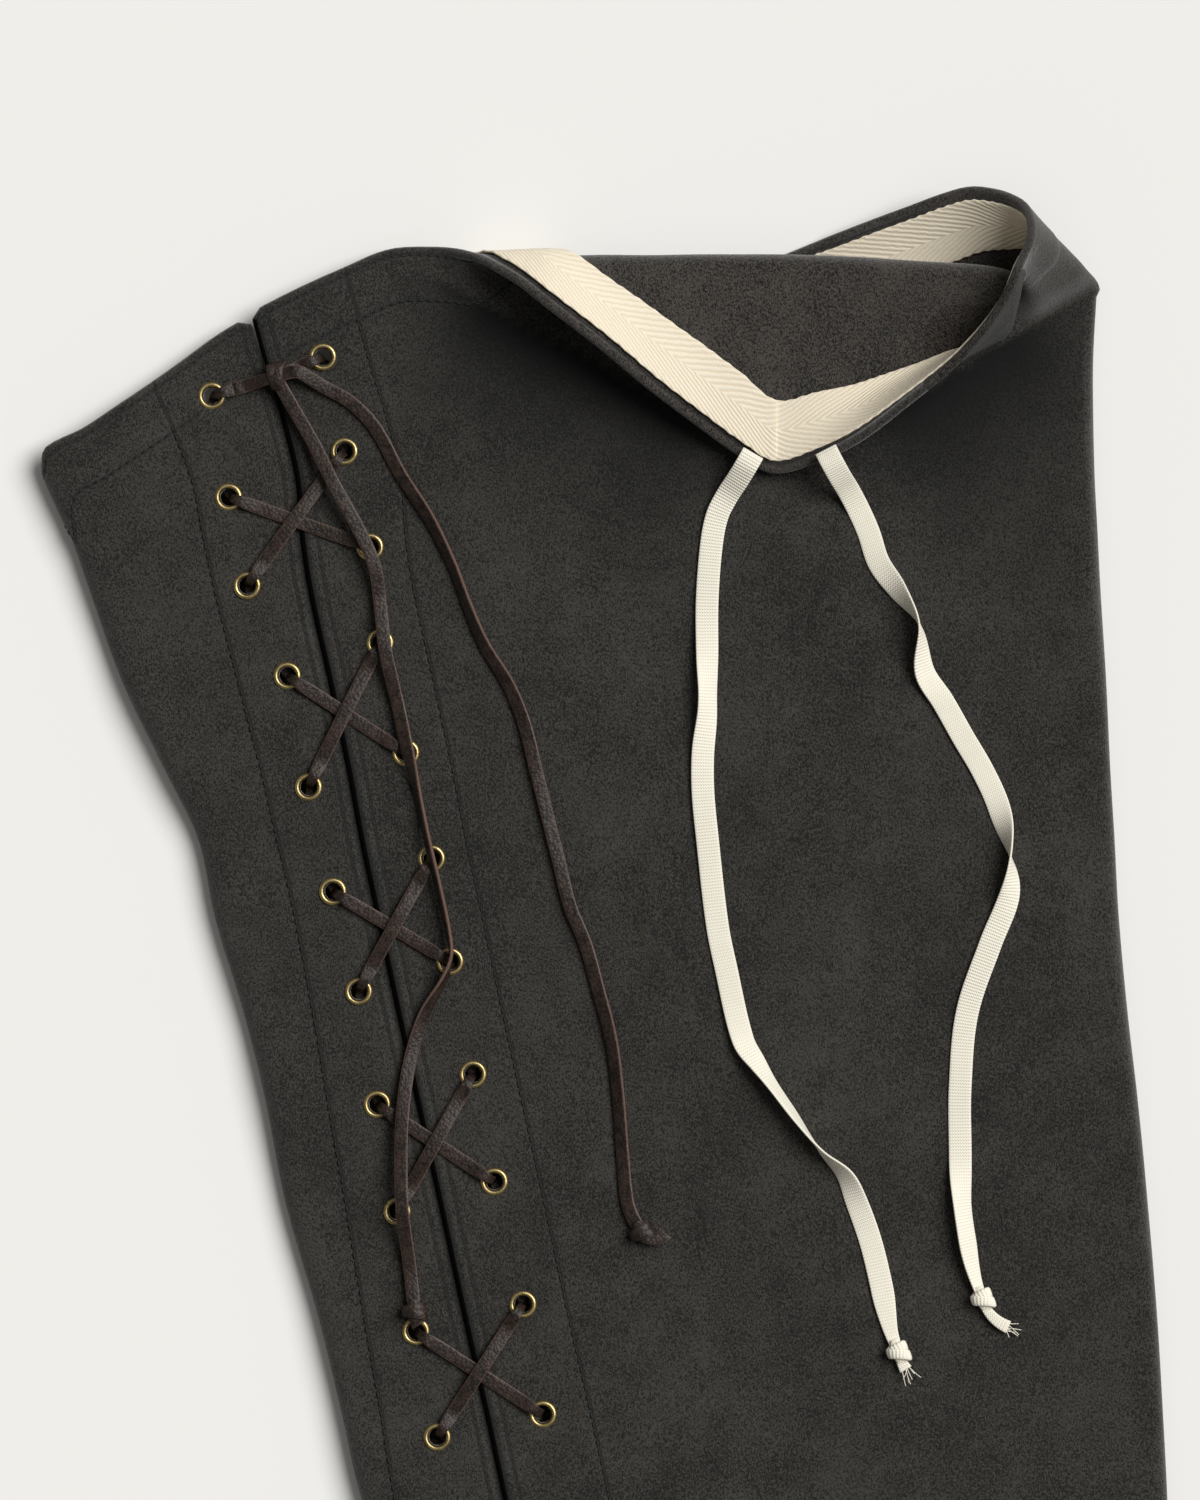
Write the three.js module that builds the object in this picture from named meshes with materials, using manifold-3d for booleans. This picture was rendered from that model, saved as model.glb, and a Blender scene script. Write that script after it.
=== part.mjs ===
// One leg of a pair of laced wool hose, laid flat on its back layer.
// The leg is one cut of fulled wool wrapped round to a laced slit. Its point is turned
// down over the front, and the side of the waist stands open as a short funnel.
// The cut is carried as stretches that meet at seam gaps: flat panels, the folds between
// them, and the turned waist above the front panel.
// Millimetres, +Z up, +Y towards the waist. The origin is under the middle of the leg.
import * as THREE from "three";
import Module from "manifold-3d";
import { mergeVertices } from "three/addons/utils/BufferGeometryUtils.js";

const wasm = await Module();
wasm.setup();

// Cloth and its lay.
const WOOL = 2;
const SEAM_GAP = 0.3;
const FOLD_RADIUS = 4;
const BACK_Z = WOOL / 2;
const FRONT_Z = BACK_Z + 2 * FOLD_RADIUS;
const FRONT_TOP = FRONT_Z + WOOL / 2;
const HEM_Y = -467;
const LEG_ROWS = 14;
// Where a line's rows lie along its turn, counted in the turn's own points.
const TURN_ROWS = [0, 0.8, 1.2, 1.6, 2, 2.5, 3, 3.5, 4, 4.5, 5];

// Slit down the outer side: closed as a seam below its foot, and wider at the waist.
const SLIT_FOOT_Y = -14;
const SLIT_GAP = 1;
const SLIT_TOP_GAP = 3;
const SLIT_SPREAD_Y = 385;

// Waist tape.
const TAPE_THICK = 1;
const TAPE_GAP = 0.5;
const TAPE_WIDTH = 20;
const TAPE_MARGIN = 4;

// Brass eyelets.
const EYELET_HOLE_R = 3.3;
const EYELET_BARREL_R = 3.7;
const EYELET_FLANGE_R = 5;
const EYELET_FLANGE = 0.5;
const EYELET_SIDES = 8;

// Leather lace and cotton ties.
const LACE_WIDTH = 4.6;
const LACE_THICK = 2;
const LACE_BEND = 2.5;
const LACE_LIFT = 2.4;
const LACE_GAP = 0.5;
const LACE_TOP_Z = FRONT_TOP + LACE_LIFT;
const LACE_INSIDE_Z = 5;
const LACE_OVER_Z = LACE_TOP_Z + LACE_THICK + LACE_GAP;
const TIE_WIDTH = 8;
const TIE_THICK = 0.9;

const table = (columns, rows) =>
  rows.map((row) => Object.fromEntries(columns.map((name, k) => [name, row[k]])));

// Sections across the leg: the outer sides of its two folds and the slit's right lip.
const SECTIONS = table(["y", "left", "slit", "right"], [
  [-467, 40, 65.5, 204.5],
  [-415, 31.5, 57, 204],
  [-360, 18.5, 44.5, 204],
  [-310, 3.5, 30.5, 203.5],
  [-205, -24, 7.5, 200],
  [-100, -54, -15, 196.5],
  [5, -90, -39.5, 192.5],
  [35, -97, -46, 191],
  [68, -105, -53.5, 189],
  [110, -117, -62.5, 185.5],
  [146, -124, -70.5, 182],
  [176, -131.5, -77, 178.5],
  [209, -141.5, -84, 175.5],
  [237, -147.5, -90, 174],
  [261, -159, -94.5, 172.5],
  [292, -174, -101, 171],
  [324, -185.5, -108, 169],
  [344, -192.5, -111, 168],
  [363, -201, -112.5, 167],
  [384, -208, -117.5, 166.5],
  [405, -215, -124, 166.5],
  [431, -224, -131, 168],
]);

// Waist edge where the cloth lies flat.
const FRONT_EDGE = table(["x", "y"], [
  [-127, 421.5], [-111.5, 429.5], [-96, 436.5], [-80, 443],
]);
const BACK_EDGE = table(["x", "y"], [
  [67, 445], [32.5, 431.2], [-6.5, 421.5], [-60, 407], [-120, 390], [-160, 379.5], [-190, 371],
]);
const STRIP_EDGE = table(["x", "y"], [
  [-187, 379.5], [-176, 385.5], [-163, 395], [-152, 404.5], [-141.5, 412.5], [-131.5, 419],
]);
const CORNER_EDGE = table(["angle", "y"], [[-90, 368], [-135, 367], [180, 366], [135, 369], [90, 374]]);

// Where the front turns over at the waist, from the slit side round to the right fold.
const FRONT_TURN = table(["base", "under", "roll", "over", "lie", "edge"], [
  [[-62.5, 424, 9], [-62.5, 429, 9.2], [-62.5, 433.5, 9.7],
    [-62.5, 437.5, 10.4], [-62.5, 440.8, 11.2], [-62.5, 443.5, 12]],
  [[-55, 422, 9], [-55, 428, 9.5], [-55, 433.5, 10.8],
    [-55, 437.5, 12.6], [-55, 440.2, 14.8], [-55, 442, 17]],
  [[-48, 421, 9.2], [-48, 428.5, 10], [-48, 434.5, 11.8],
    [-48, 438, 14.6], [-48, 439.6, 18], [-48, 438.8, 22]],
  [[-42, 421, 9.4], [-42, 430, 10.4], [-42, 436.2, 12.8],
    [-42, 439, 16.4], [-42, 438.8, 20.8], [-42, 435, 26]],
  [[-34, 421.5, 9.5], [-34, 431.5, 10.6], [-34, 437.8, 13.2],
    [-34, 439.8, 17], [-34, 437.6, 22.2], [-34, 429.8, 29.5]],
  [[-24, 422, 9.6], [-24, 433, 10.8], [-24, 439, 13.6],
    [-24, 440, 17], [-24, 435.5, 23], [-24, 421.6, 32]],
  [[-6.5, 424, 9.5], [-6.5, 435.5, 10.5], [-6.5, 440, 13.8],
    [-6.5, 437.6, 17.6], [-6.5, 430, 20], [-6.5, 408.2, 29.5]],
  [[11, 425, 9.2], [11, 436.5, 10], [11, 440, 13.5],
    [11, 437.2, 17.2], [11, 421, 17.8], [11, 393.8, 23.5]],
  [[28.5, 425.5, 9], [28.5, 437, 9.8], [28.5, 440.3, 13.3],
    [28.5, 437.3, 17], [28.5, 410.5, 15.6], [28.5, 380.8, 18.5]],
  [[42.5, 425.5, 9], [42.5, 437, 9.8], [42.5, 440.3, 13.3],
    [42.5, 437.3, 17], [42.5, 400.5, 14.6], [42.5, 371, 15.8]],
  [[54, 425.5, 9], [54, 437, 9.8], [54, 440.3, 13.3],
    [54, 437.3, 17], [54, 392, 13.8], [54, 365, 15]],
  [[69, 425.5, 9], [69, 436.6, 9.8], [69, 440, 13.5],
    [69, 436.8, 17.2], [69, 391.5, 13.8], [69, 368.6, 19]],
  [[83.5, 421, 9], [83.5, 435.6, 10.4], [83.5, 439.3, 14.4],
    [83.5, 435.6, 18.2], [83.5, 393.5, 13.4], [83.5, 375.6, 26]],
  [[101.5, 412, 8.6], [101.5, 433.2, 11.2], [101.5, 438, 16],
    [101.5, 434, 19.8], [101.5, 399.8, 13], [101.5, 389.4, 32]],
  [[116, 406, 8.2], [116, 430, 12], [116, 437, 17.4],
    [116, 433.4, 21.2], [116, 406.2, 12.2], [116, 401.8, 34.5]],
  [[124, 406.5, 7.8], [124, 427.6, 12], [124, 436.4, 17.6],
    [124, 432.8, 21.4], [124, 408.6, 11.2], [123.4, 410.2, 35.5]],
  [[130.5, 409.4, 7.4], [130.5, 427.4, 12.2], [130.5, 435.6, 17.6],
    [130.5, 432, 21.6], [130.4, 411, 10.8], [129.6, 418.4, 36]],
  [[137, 412.8, 7.2], [137, 426.6, 12.4], [136.8, 434, 17.8],
    [136.4, 431, 21.8], [136.6, 415, 11.2], [134.6, 427, 36]],
  [[147.5, 418.2, 7], [145.2, 424, 13], [143, 429, 19],
    [141, 432.6, 25], [139.4, 434.8, 31], [138, 434.6, 36.6]],
  [[157, 423.2, 6.6], [153.2, 428.6, 12.8], [149.4, 433, 18.8],
    [145.6, 436.6, 25], [142.4, 439.2, 31], [140, 439.8, 36.8]],
  [[163.5, 426.6, 6.8], [159, 431.4, 12.6], [154.2, 435.6, 18.6],
    [149.4, 439.2, 24.8], [145, 442, 31], [141.6, 443.4, 36.6]],
]);
const POINT_TIP = 10;

// Round the right fold, where the waist stands up as a funnel.
const FOLD_TURN = table(["angle", "base", "under", "roll", "over", "lie", "edge"], [
  [45, [166.5, 428.8, 7.8], [161.6, 433.6, 12.8], [156, 438, 18.6],
    [150.4, 441.8, 25], [145.6, 444.8, 31.4], [142.2, 446.4, 36.4]],
  [0, [168, 429.8, 5], [163, 435.4, 10.4], [157, 440.4, 16.4],
    [151, 444.6, 23], [146, 447.8, 29.8], [142.5, 449.8, 35]],
  [-45, [166.5, 430.6, 2.2], [162, 436.8, 7], [156.4, 442.4, 13],
    [150.4, 447.4, 20], [145.4, 451.2, 27], [142, 453.4, 33]],
  [-90, [163, 430, 1], [159, 436.8, 4.4], [153.6, 443.4, 10],
    [148, 449.2, 16.8], [143.6, 454, 24], [140.4, 457.2, 30.4]],
]);

// The back layer rising to the funnel's rim, from the right fold towards the left.
const BACK_TURN = table(["base", "under", "roll", "over", "lie", "edge"], [
  [[155, 426, 1], [152, 434, 3], [147.8, 441.6, 7.6],
    [143.4, 448.8, 13.6], [139.4, 455.4, 20.4], [136.4, 460.4, 27]],
  [[144.5, 423, 1], [142.4, 431.6, 2.4], [139, 440.2, 6],
    [135.6, 448.4, 11.2], [132.6, 456.2, 17.2], [130.4, 462.8, 23]],
  [[134, 420.4, 1], [132.6, 429.4, 1.8], [129.8, 438.6, 4.4],
    [127, 447.4, 8.6], [124.4, 456, 13.8], [122.4, 464, 19]],
  [[122, 419.6, 1], [121, 428.4, 1.4], [119, 437.6, 3.2],
    [117, 446.6, 6.6], [115, 455, 11], [113.4, 462, 15]],
  [[108, 420.6, 1], [107.4, 428.8, 1.2], [106, 436.8, 2.2],
    [104.6, 444.6, 4.6], [103.2, 452, 8], [102, 458, 11.2]],
  [[94, 422, 1], [93.6, 428.6, 1.1], [92.6, 435.4, 1.6],
    [91.6, 442, 3.2], [90.6, 448.2, 5.6], [89.6, 453.6, 8]],
  [[79.5, 424, 1], [79.2, 429, 1], [78.6, 434.2, 1.2],
    [77.8, 439.4, 1.9], [77, 444.4, 3.2], [76.2, 448.6, 4.8]],
]);

// Eyelets in their two rows, from the waist down.
const LEFT_EYELETS = table(["x", "y"], [
  [-142.5, 392], [-136.5, 356.5], [-130, 325.5], [-116, 294], [-108.5, 255], [-100, 218.5],
  [-91, 183.5], [-84.5, 144], [-77.5, 106.5], [-71, 64.5], [-63.5, 27.5],
]);
const RIGHT_EYELETS = table(["x", "y"], [
  [-103.5, 405.5], [-96, 372.5], [-87, 339], [-83.5, 305.5], [-74.5, 267], [-65.5, 230],
  [-59, 194], [-51, 154.5], [-43.5, 117], [-33.5, 74], [-26.5, 35.5],
]);

// Free ends: routes over the front, middle of the cord.
const LACE_END_LEFT = [
  [-116, 391.5, 13.8], [-106.5, 375, 14.6], [-99.5, 361, 16.4], [-91.5, 346.5, 15.6], [-85.5, 333, 15.2],
  [-83.5, 320.5, 13.2], [-81.5, 303, 15], [-77, 283, 12.6], [-73.5, 267, 15.2], [-70, 251, 12.6],
  [-66.5, 235, 15], [-63, 220, 14.2], [-59.5, 204, 14.2], [-58.5, 196, 15], [-61, 188, 14.8],
  [-68, 175.5, 12.2], [-73, 159, 12], [-75.5, 140.5, 15.2], [-76, 123, 15.4], [-75.5, 107, 16.4],
  [-73, 87, 12.6], [-71.8, 76.2, 13.2],
];
const LACE_END_RIGHT = [
  [-112.3, 400.2, 15.4], [-108, 398, 14], [-103, 395, 12.2], [-93.5, 389.5, 11.6],
  [-85, 380.5, 11.5], [-76, 364, 11.5],
  [-66.5, 349.5, 11.5], [-58.5, 333.5, 11.5], [-53, 319, 11.5], [-47, 305, 11.5], [-38.5, 291, 11.5],
  [-33, 277.5, 11.5], [-29, 261.5, 11.5], [-25, 245.5, 11.5], [-21, 229.5, 11.5], [-17, 213.5, 11.5],
  [-11.5, 200, 11.5], [-7, 184, 11.5], [-2.5, 166.5, 11.5], [0, 146.5, 11.5], [1.5, 126, 11.5],
  [3, 110.5, 11.6], [5, 104.5, 12],
];
const TIE_LEFT = [
  [47, 371.6, 18.8], [44.6, 367.4, 18.8], [41.8, 362.8, 16], [38, 357, 12.2], [34.5, 350, 11],
  [32.5, 340, 10.8], [31, 320.5, 10.8], [31, 300, 10.8], [31, 281.5, 10.8], [29.5, 267, 10.8],
  [29.5, 253.5, 10.8], [31, 237.5, 10.8], [34.5, 207, 10.8], [37.5, 192, 10.8], [43.5, 166.5, 10.8],
  [48.5, 158.5, 10.8], [62, 139.5, 10.8], [71, 127.5, 10.8], [79, 119.5, 10.8], [83, 110.5, 10.8],
  [88, 96.5, 10.8], [91.5, 82.5, 10.8], [95, 65.5, 11],
];
const TIE_RIGHT = [
  [72, 372.6, 25], [74.2, 368.2, 25.6], [77.2, 363.2, 21.4], [80.6, 358.2, 14.4], [84, 352, 10.9],
  [87.5, 344, 10.8], [91, 333.5, 10.8], [97.5, 324, 10.8], [105, 312, 10.8], [107, 295.5, 10.8],
  [113.5, 285, 10.8], [120.5, 272.5, 10.8], [127.5, 260.5, 10.8], [133, 248, 10.8], [137, 230, 10.8],
  [136.5, 217, 10.8], [130, 200, 10.8], [122, 176, 10.8], [119.5, 150, 10.8], [119.5, 130.5, 10.8],
  [120, 110.5, 10.8], [122.5, 93, 10.8], [124.5, 84, 11],
];
const KNOTS = table(["name", "x", "y", "z", "rx", "ry", "rz", "finish"], [
  ["lace_knot", -120, 398.5, 14.6, 6.5, 6, 4.2, "leather"],
  ["lace_end_left_knot", -71.5, 72, 14, 3.6, 3.6, 2.8, "leather"],
  ["lace_end_right_knot", 8, 99.5, 13, 4, 4, 2.6, "leather"],
  ["tie_left_knot", 97.5, 58, 13, 3.8, 5, 2.6, "tie"],
  ["tie_right_knot", 127.5, 76.5, 13.1, 4.6, 5, 2.7, "tie"],
]);

const FINISHES = {
  wool: new THREE.MeshStandardMaterial({ color: 0x3a3936, roughness: 0.95, metalness: 0 }),
  tape: new THREE.MeshStandardMaterial({ color: 0xe6dcc4, roughness: 0.85, metalness: 0 }),
  tie: new THREE.MeshStandardMaterial({ color: 0xe8e2cd, roughness: 0.85, metalness: 0 }),
  leather: new THREE.MeshStandardMaterial({ color: 0x3e2f2a, roughness: 0.6, metalness: 0 }),
  brass: new THREE.MeshStandardMaterial({ color: 0xa58c50, roughness: 0.4, metalness: 1 }),
};

const group = new THREE.Group();

function addPiece(name, geometry, finish) {
  const mesh = new THREE.Mesh(geometry, FINISHES[finish].clone());
  mesh.name = name;
  group.add(mesh);
}

// A section's edge at any height: a smooth curve through the table's rows.
function sectionEdge(column) {
  const slopes = SECTIONS.map((row, k) => {
    const before = SECTIONS[Math.max(k - 1, 0)];
    const after = SECTIONS[Math.min(k + 1, SECTIONS.length - 1)];
    return (after[column] - before[column]) / (after.y - before.y);
  });
  return (y) => {
    const found = SECTIONS.findIndex((row) => row.y > y);
    const k = found < 0 ? SECTIONS.length - 2 : Math.max(found - 1, 0);
    const [low, high] = [SECTIONS[k], SECTIONS[k + 1]];
    const span = high.y - low.y;
    const t = (y - low.y) / span;
    const rise = t * t * (3 - 2 * t);
    const bend = t * (1 - t) * span;
    return THREE.MathUtils.lerp(low[column], high[column], rise)
      + bend * ((1 - t) * slopes[k] - t * slopes[k + 1]);
  };
}

const leftSide = sectionEdge("left");
const slitLip = sectionEdge("slit");
const rightSide = sectionEdge("right");
const foldInset = FOLD_RADIUS + WOOL / 2;
const leftFold = (y) => leftSide(y) + foldInset;
const rightFold = (y) => rightSide(y) - foldInset;

function slitGap(y) {
  if (y < SLIT_FOOT_Y) return SEAM_GAP;
  const spread = THREE.MathUtils.smoothstep(y, SLIT_SPREAD_Y, STRIP_EDGE.at(-1).y);
  return THREE.MathUtils.lerp(SLIT_GAP, SLIT_TOP_GAP, spread);
}

// A station is one line of the cloth from the hem to the waist edge.
// lower(y) is its place on the flat leg, and turn holds its points at the waist.
function flatStation(from, to, z, base, turn) {
  const share = (base[0] - from(base[1])) / (to(base[1]) - from(base[1]));
  const lower = (y) => new THREE.Vector3(THREE.MathUtils.lerp(from(y), to(y), share), y, z);
  return { lower, turn };
}

function foldStation(middle, angle, turn) {
  const radians = THREE.MathUtils.degToRad(angle);
  const lower = (y) => new THREE.Vector3(
    middle(y) + FOLD_RADIUS * Math.cos(radians), y, BACK_Z + FOLD_RADIUS * (1 + Math.sin(radians)));
  return { lower, turn };
}

const TURN_LENGTH = 20;
const TURN_POINTS = 6;

// A waist edge that isn't turned: its last stretch in even steps on the flat.
function plainTurn(lower, edgeY) {
  return Array.from({ length: TURN_POINTS }, (unused, k) => {
    const y = edgeY - TURN_LENGTH * (1 - k / (TURN_POINTS - 1));
    return lower(y).toArray();
  });
}

const turnPoints = (row) => [row.base, row.under, row.roll, row.over, row.lie, row.edge];

function plainStation(from, to, z, edge) {
  const station = flatStation(from, to, z, [edge.x, edge.y], null);
  station.turn = plainTurn(station.lower, edge.y);
  return station;
}

const stripLip = (y) => slitLip(y) - slitGap(y);
const frontLipRow = { x: slitLip(FRONT_EDGE[0].y), y: FRONT_EDGE[0].y };
const stripLipRow = { x: stripLip(STRIP_EDGE.at(-1).y), y: STRIP_EDGE.at(-1).y };

const frontStations = [
  ...[frontLipRow, ...FRONT_EDGE.slice(1)].map((edge) => plainStation(slitLip, rightFold, FRONT_Z, edge)),
  ...FRONT_TURN.map((row) => flatStation(slitLip, rightFold, FRONT_Z, row.base, turnPoints(row))),
  ...FOLD_TURN.map((row) => foldStation(rightFold, row.angle, turnPoints(row))),
];
const backStations = [
  ...BACK_TURN.map((row) => flatStation(leftFold, rightFold, BACK_Z, row.base, turnPoints(row))),
  ...BACK_EDGE.map((edge) => plainStation(leftFold, rightFold, BACK_Z, edge)),
];
const sideStations = [
  ...CORNER_EDGE.map((row) => {
    const station = foldStation(leftFold, row.angle, null);
    station.turn = plainTurn(station.lower, row.y);
    return station;
  }),
  ...[...STRIP_EDGE.slice(0, -1), stripLipRow].map((edge) => plainStation(leftFold, stripLip, FRONT_Z, edge)),
];
const stations = [...frontStations, ...backStations, ...sideStations];
const FOLD_START = FRONT_EDGE.length + FRONT_TURN.length - 1;
const BACK_START = frontStations.length - 1;
const CORNER_START = frontStations.length + backStations.length;
const STRIP_START = CORNER_START + CORNER_EDGE.length - 1;

function stationLine({ lower, turn }) {
  const baseY = turn[0][1];
  const line = [];
  for (let k = 0; k < LEG_ROWS; k += 1) {
    line.push(lower(THREE.MathUtils.lerp(HEM_Y, baseY, k / LEG_ROWS)));
  }
  const before = lower(baseY - TURN_LENGTH / 2);
  const points = [before, ...turn.map((point) => new THREE.Vector3(...point))];
  const curve = new THREE.CatmullRomCurve3(points, false, "centripetal");
  for (const stop of TURN_ROWS) {
    line.push(curve.getPoint((1 + stop) / TURN_POINTS));
  }
  return line;
}

const lines = stations.map(stationLine);
const ROWS = lines[0].length;

function clothNormal(i, j) {
  const across = lines[Math.min(i + 1, lines.length - 1)][j].clone().sub(lines[Math.max(i - 1, 0)][j]);
  const along = lines[i][Math.min(j + 1, ROWS - 1)].clone().sub(lines[i][Math.max(j - 1, 0)]);
  return across.cross(along).normalize();
}

const normals = lines.map((line, i) => line.map((point, j) => clothNormal(i, j)));

// A closed wall from two matching sheets of points, sheet[i][j], the first one facing out.
function wall(outer, inner) {
  const [columns, rows] = [outer.length, outer[0].length];
  const positions = [...outer.flat(), ...inner.flat()].flatMap((point) => point.toArray());
  const at = (i, j, side) => side * columns * rows + i * rows + j;
  const index = [];
  const quad = (a, b, c, d) => index.push(a, b, c, a, c, d);
  for (let i = 0; i < columns - 1; i += 1) {
    for (let j = 0; j < rows - 1; j += 1) {
      quad(at(i, j, 0), at(i + 1, j, 0), at(i + 1, j + 1, 0), at(i, j + 1, 0));
      quad(at(i, j, 1), at(i, j + 1, 1), at(i + 1, j + 1, 1), at(i + 1, j, 1));
    }
    quad(at(i, 0, 1), at(i + 1, 0, 1), at(i + 1, 0, 0), at(i, 0, 0));
    quad(at(i, rows - 1, 0), at(i + 1, rows - 1, 0), at(i + 1, rows - 1, 1), at(i, rows - 1, 1));
  }
  for (let j = 0; j < rows - 1; j += 1) {
    quad(at(0, j, 0), at(0, j + 1, 0), at(0, j + 1, 1), at(0, j, 1));
    quad(at(columns - 1, j, 1), at(columns - 1, j + 1, 1), at(columns - 1, j + 1, 0), at(columns - 1, j, 0));
  }
  const geometry = new THREE.BufferGeometry();
  geometry.setAttribute("position", new THREE.Float32BufferAttribute(positions, 3));
  geometry.setIndex(index);
  return geometry;
}

// Pulls a point of a stretch's end back along the cloth, to leave half a seam gap.
function pullBack(point, from, to) {
  const towards = to.clone().sub(from);
  point.addScaledVector(towards.normalize(), SEAM_GAP / 2);
}

// A stretch of the cloth between two stations and two rows. Its ends are pulled back,
// apart from those at the slit, the hem and the waist edge.
function clothWall({ first, last, bottom = 0, top = ROWS - 1 }) {
  const layers = [[], []];
  for (let i = first; i <= last; i += 1) {
    const middle = [];
    for (let j = bottom; j <= top; j += 1) {
      const point = lines[i][j].clone();
      if (i === first && first > 0) pullBack(point, lines[i][j], lines[i + 1][j]);
      if (i === last && last < lines.length - 1) pullBack(point, lines[i][j], lines[i - 1][j]);
      if (j === bottom && bottom > 0) pullBack(point, lines[i][j], lines[i][j + 1]);
      if (j === top && top < ROWS - 1) pullBack(point, lines[i][j], lines[i][j - 1]);
      middle.push(point);
    }
    const moved = (lift) => middle.map((point, k) =>
      point.clone().addScaledVector(normals[i][bottom + k], lift));
    layers[0].push(moved(WOOL / 2));
    layers[1].push(moved(-WOOL / 2));
  }
  return wall(...layers);
}

function toManifold(geometry) {
  const bare = geometry.clone();
  bare.deleteAttribute("normal");
  bare.deleteAttribute("uv");
  const merged = mergeVertices(bare, 1e-4);
  return new wasm.Manifold(new wasm.Mesh({
    numProp: 3,
    vertProperties: new Float32Array(merged.attributes.position.array),
    triVerts: new Uint32Array(merged.index.array),
  }));
}

function fromManifold(solid) {
  const mesh = solid.getMesh();
  const geometry = new THREE.BufferGeometry();
  geometry.setAttribute("position", new THREE.BufferAttribute(mesh.vertProperties, 3));
  geometry.setIndex(new THREE.BufferAttribute(mesh.triVerts, 1));
  return geometry;
}

function withEyeletHoles(geometry, eyelets) {
  let cloth = toManifold(geometry);
  for (const { x, y } of eyelets) {
    const radius = EYELET_BARREL_R + SEAM_GAP;
    const punch = new THREE.CylinderGeometry(radius, radius, WOOL * 2, EYELET_SIDES);
    punch.rotateX(Math.PI / 2);
    punch.translate(x, y, FRONT_Z);
    cloth = cloth.subtract(toManifold(punch));
  }
  return fromManifold(cloth);
}

const frontPanel = clothWall({ first: 0, last: FOLD_START, top: LEG_ROWS });
const sideStrip = clothWall({ first: STRIP_START, last: lines.length - 1 });
addPiece("leg_front", withEyeletHoles(frontPanel, RIGHT_EYELETS), "wool");
addPiece("leg_waist", clothWall({ first: 0, last: FOLD_START, bottom: LEG_ROWS }), "wool");
addPiece("leg_fold_right", clothWall({ first: FOLD_START, last: BACK_START }), "wool");
addPiece("leg_back", clothWall({ first: BACK_START, last: CORNER_START }), "wool");
addPiece("leg_fold_left", clothWall({ first: CORNER_START, last: STRIP_START }), "wool");
addPiece("leg_side", withEyeletHoles(sideStrip, LEFT_EYELETS), "wool");

const TURN_START = FRONT_EDGE.length + 1;
const TIP = FRONT_EDGE.length + POINT_TIP;
const TAPE_END = frontStations.length + BACK_TURN.length;

// The cloth's line and normals at any place between two stations.
function lineAt(place) {
  const low = Math.min(Math.floor(place), lines.length - 2);
  const share = place - low;
  return {
    points: lines[low].map((point, j) => point.clone().lerp(lines[low + 1][j], share)),
    normals: normals[low].map((normal, j) => normal.clone().lerp(normals[low + 1][j], share).normalize()),
  };
}

const LEAST_SLANT = 0.6;

// The sine of the angle between the waist edge and a station's line, where they meet.
function slantAt(i) {
  const top = ROWS - 1;
  const edgeWay = lines[i + 1][top].clone().sub(lines[i - 1][top]).normalize();
  const clothWay = lines[i][top - 1].clone().sub(lines[i][top]).normalize();
  return Math.max(edgeWay.cross(clothWay).length(), LEAST_SLANT);
}

// A point of the cloth's inner face at a distance from the waist edge, moved out by a lift.
function tapePoint(place, distance, lift) {
  const { points, normals: ways } = lineAt(place);
  const low = Math.floor(place);
  const slant = THREE.MathUtils.lerp(slantAt(low), slantAt(Math.ceil(place)), place - low);
  let left = distance / slant;
  for (let j = ROWS - 1; j > 0; j -= 1) {
    const step = points[j].distanceTo(points[j - 1]);
    if (left <= step) {
      const normal = ways[j].clone().lerp(ways[j - 1], left / step).normalize();
      return points[j].clone().lerp(points[j - 1], left / step).addScaledVector(normal, -lift);
    }
    left -= step;
  }
  throw new Error("the tape is wider than the cloth");
}

const TAPE_STEPS = 4;
const TAPE_STEP_ALONG = 9;

// The cloth under the tapes, thicker by a seam gap on its inner face, which the tapes are cut by.
const clothWithClearance = (() => {
  const last = TAPE_END + 1;
  const layer = (lift) => lines.slice(0, last + 1).map((line, i) =>
    line.slice(LEG_ROWS).map((point, j) => point.clone().addScaledVector(normals[i][j + LEG_ROWS], lift)));
  return toManifold(wall(layer(WOOL / 2 + SEAM_GAP), layer(-WOOL / 2 - SEAM_GAP)));
})();

// Places along the waist edge, close together where the tape's inner edge turns over.
function tapePlaces(first, last) {
  const places = [first];
  const innerEdge = (place) => tapePoint(place, TAPE_MARGIN + TAPE_WIDTH, 0);
  while (places.at(-1) < last) {
    const from = places.at(-1);
    const to = Math.min(Math.floor(from + 1), last);
    const count = Math.ceil(innerEdge(from).distanceTo(innerEdge(to)) / TAPE_STEP_ALONG);
    for (let k = 1; k <= count; k += 1) places.push(THREE.MathUtils.lerp(from, to, k / count));
  }
  return places;
}

function tapeWall(first, last) {
  const near = WOOL / 2 + TAPE_GAP;
  const layer = (lift) => tapePlaces(first, last).map((place) =>
    Array.from({ length: TAPE_STEPS + 1 }, (unused, k) =>
      tapePoint(place, TAPE_MARGIN + TAPE_WIDTH * (1 - k / TAPE_STEPS), lift)));
  const tape = toManifold(wall(layer(near), layer(near + TAPE_THICK)));
  const front = toManifold(clothWall({ first: 0, last: BACK_START }));
  const cut = tape.subtract(clothWithClearance).subtract(front);
  const bySize = cut.decompose().sort((one, other) => other.volume() - one.volume());
  return fromManifold(bySize[0]);
}

const TIP_GAP = 0.03;
addPiece("tape_left", tapeWall(TURN_START, TIP - TIP_GAP), "tape");
addPiece("tape_right", tapeWall(TIP + TIP_GAP, TAPE_END), "tape");

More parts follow.
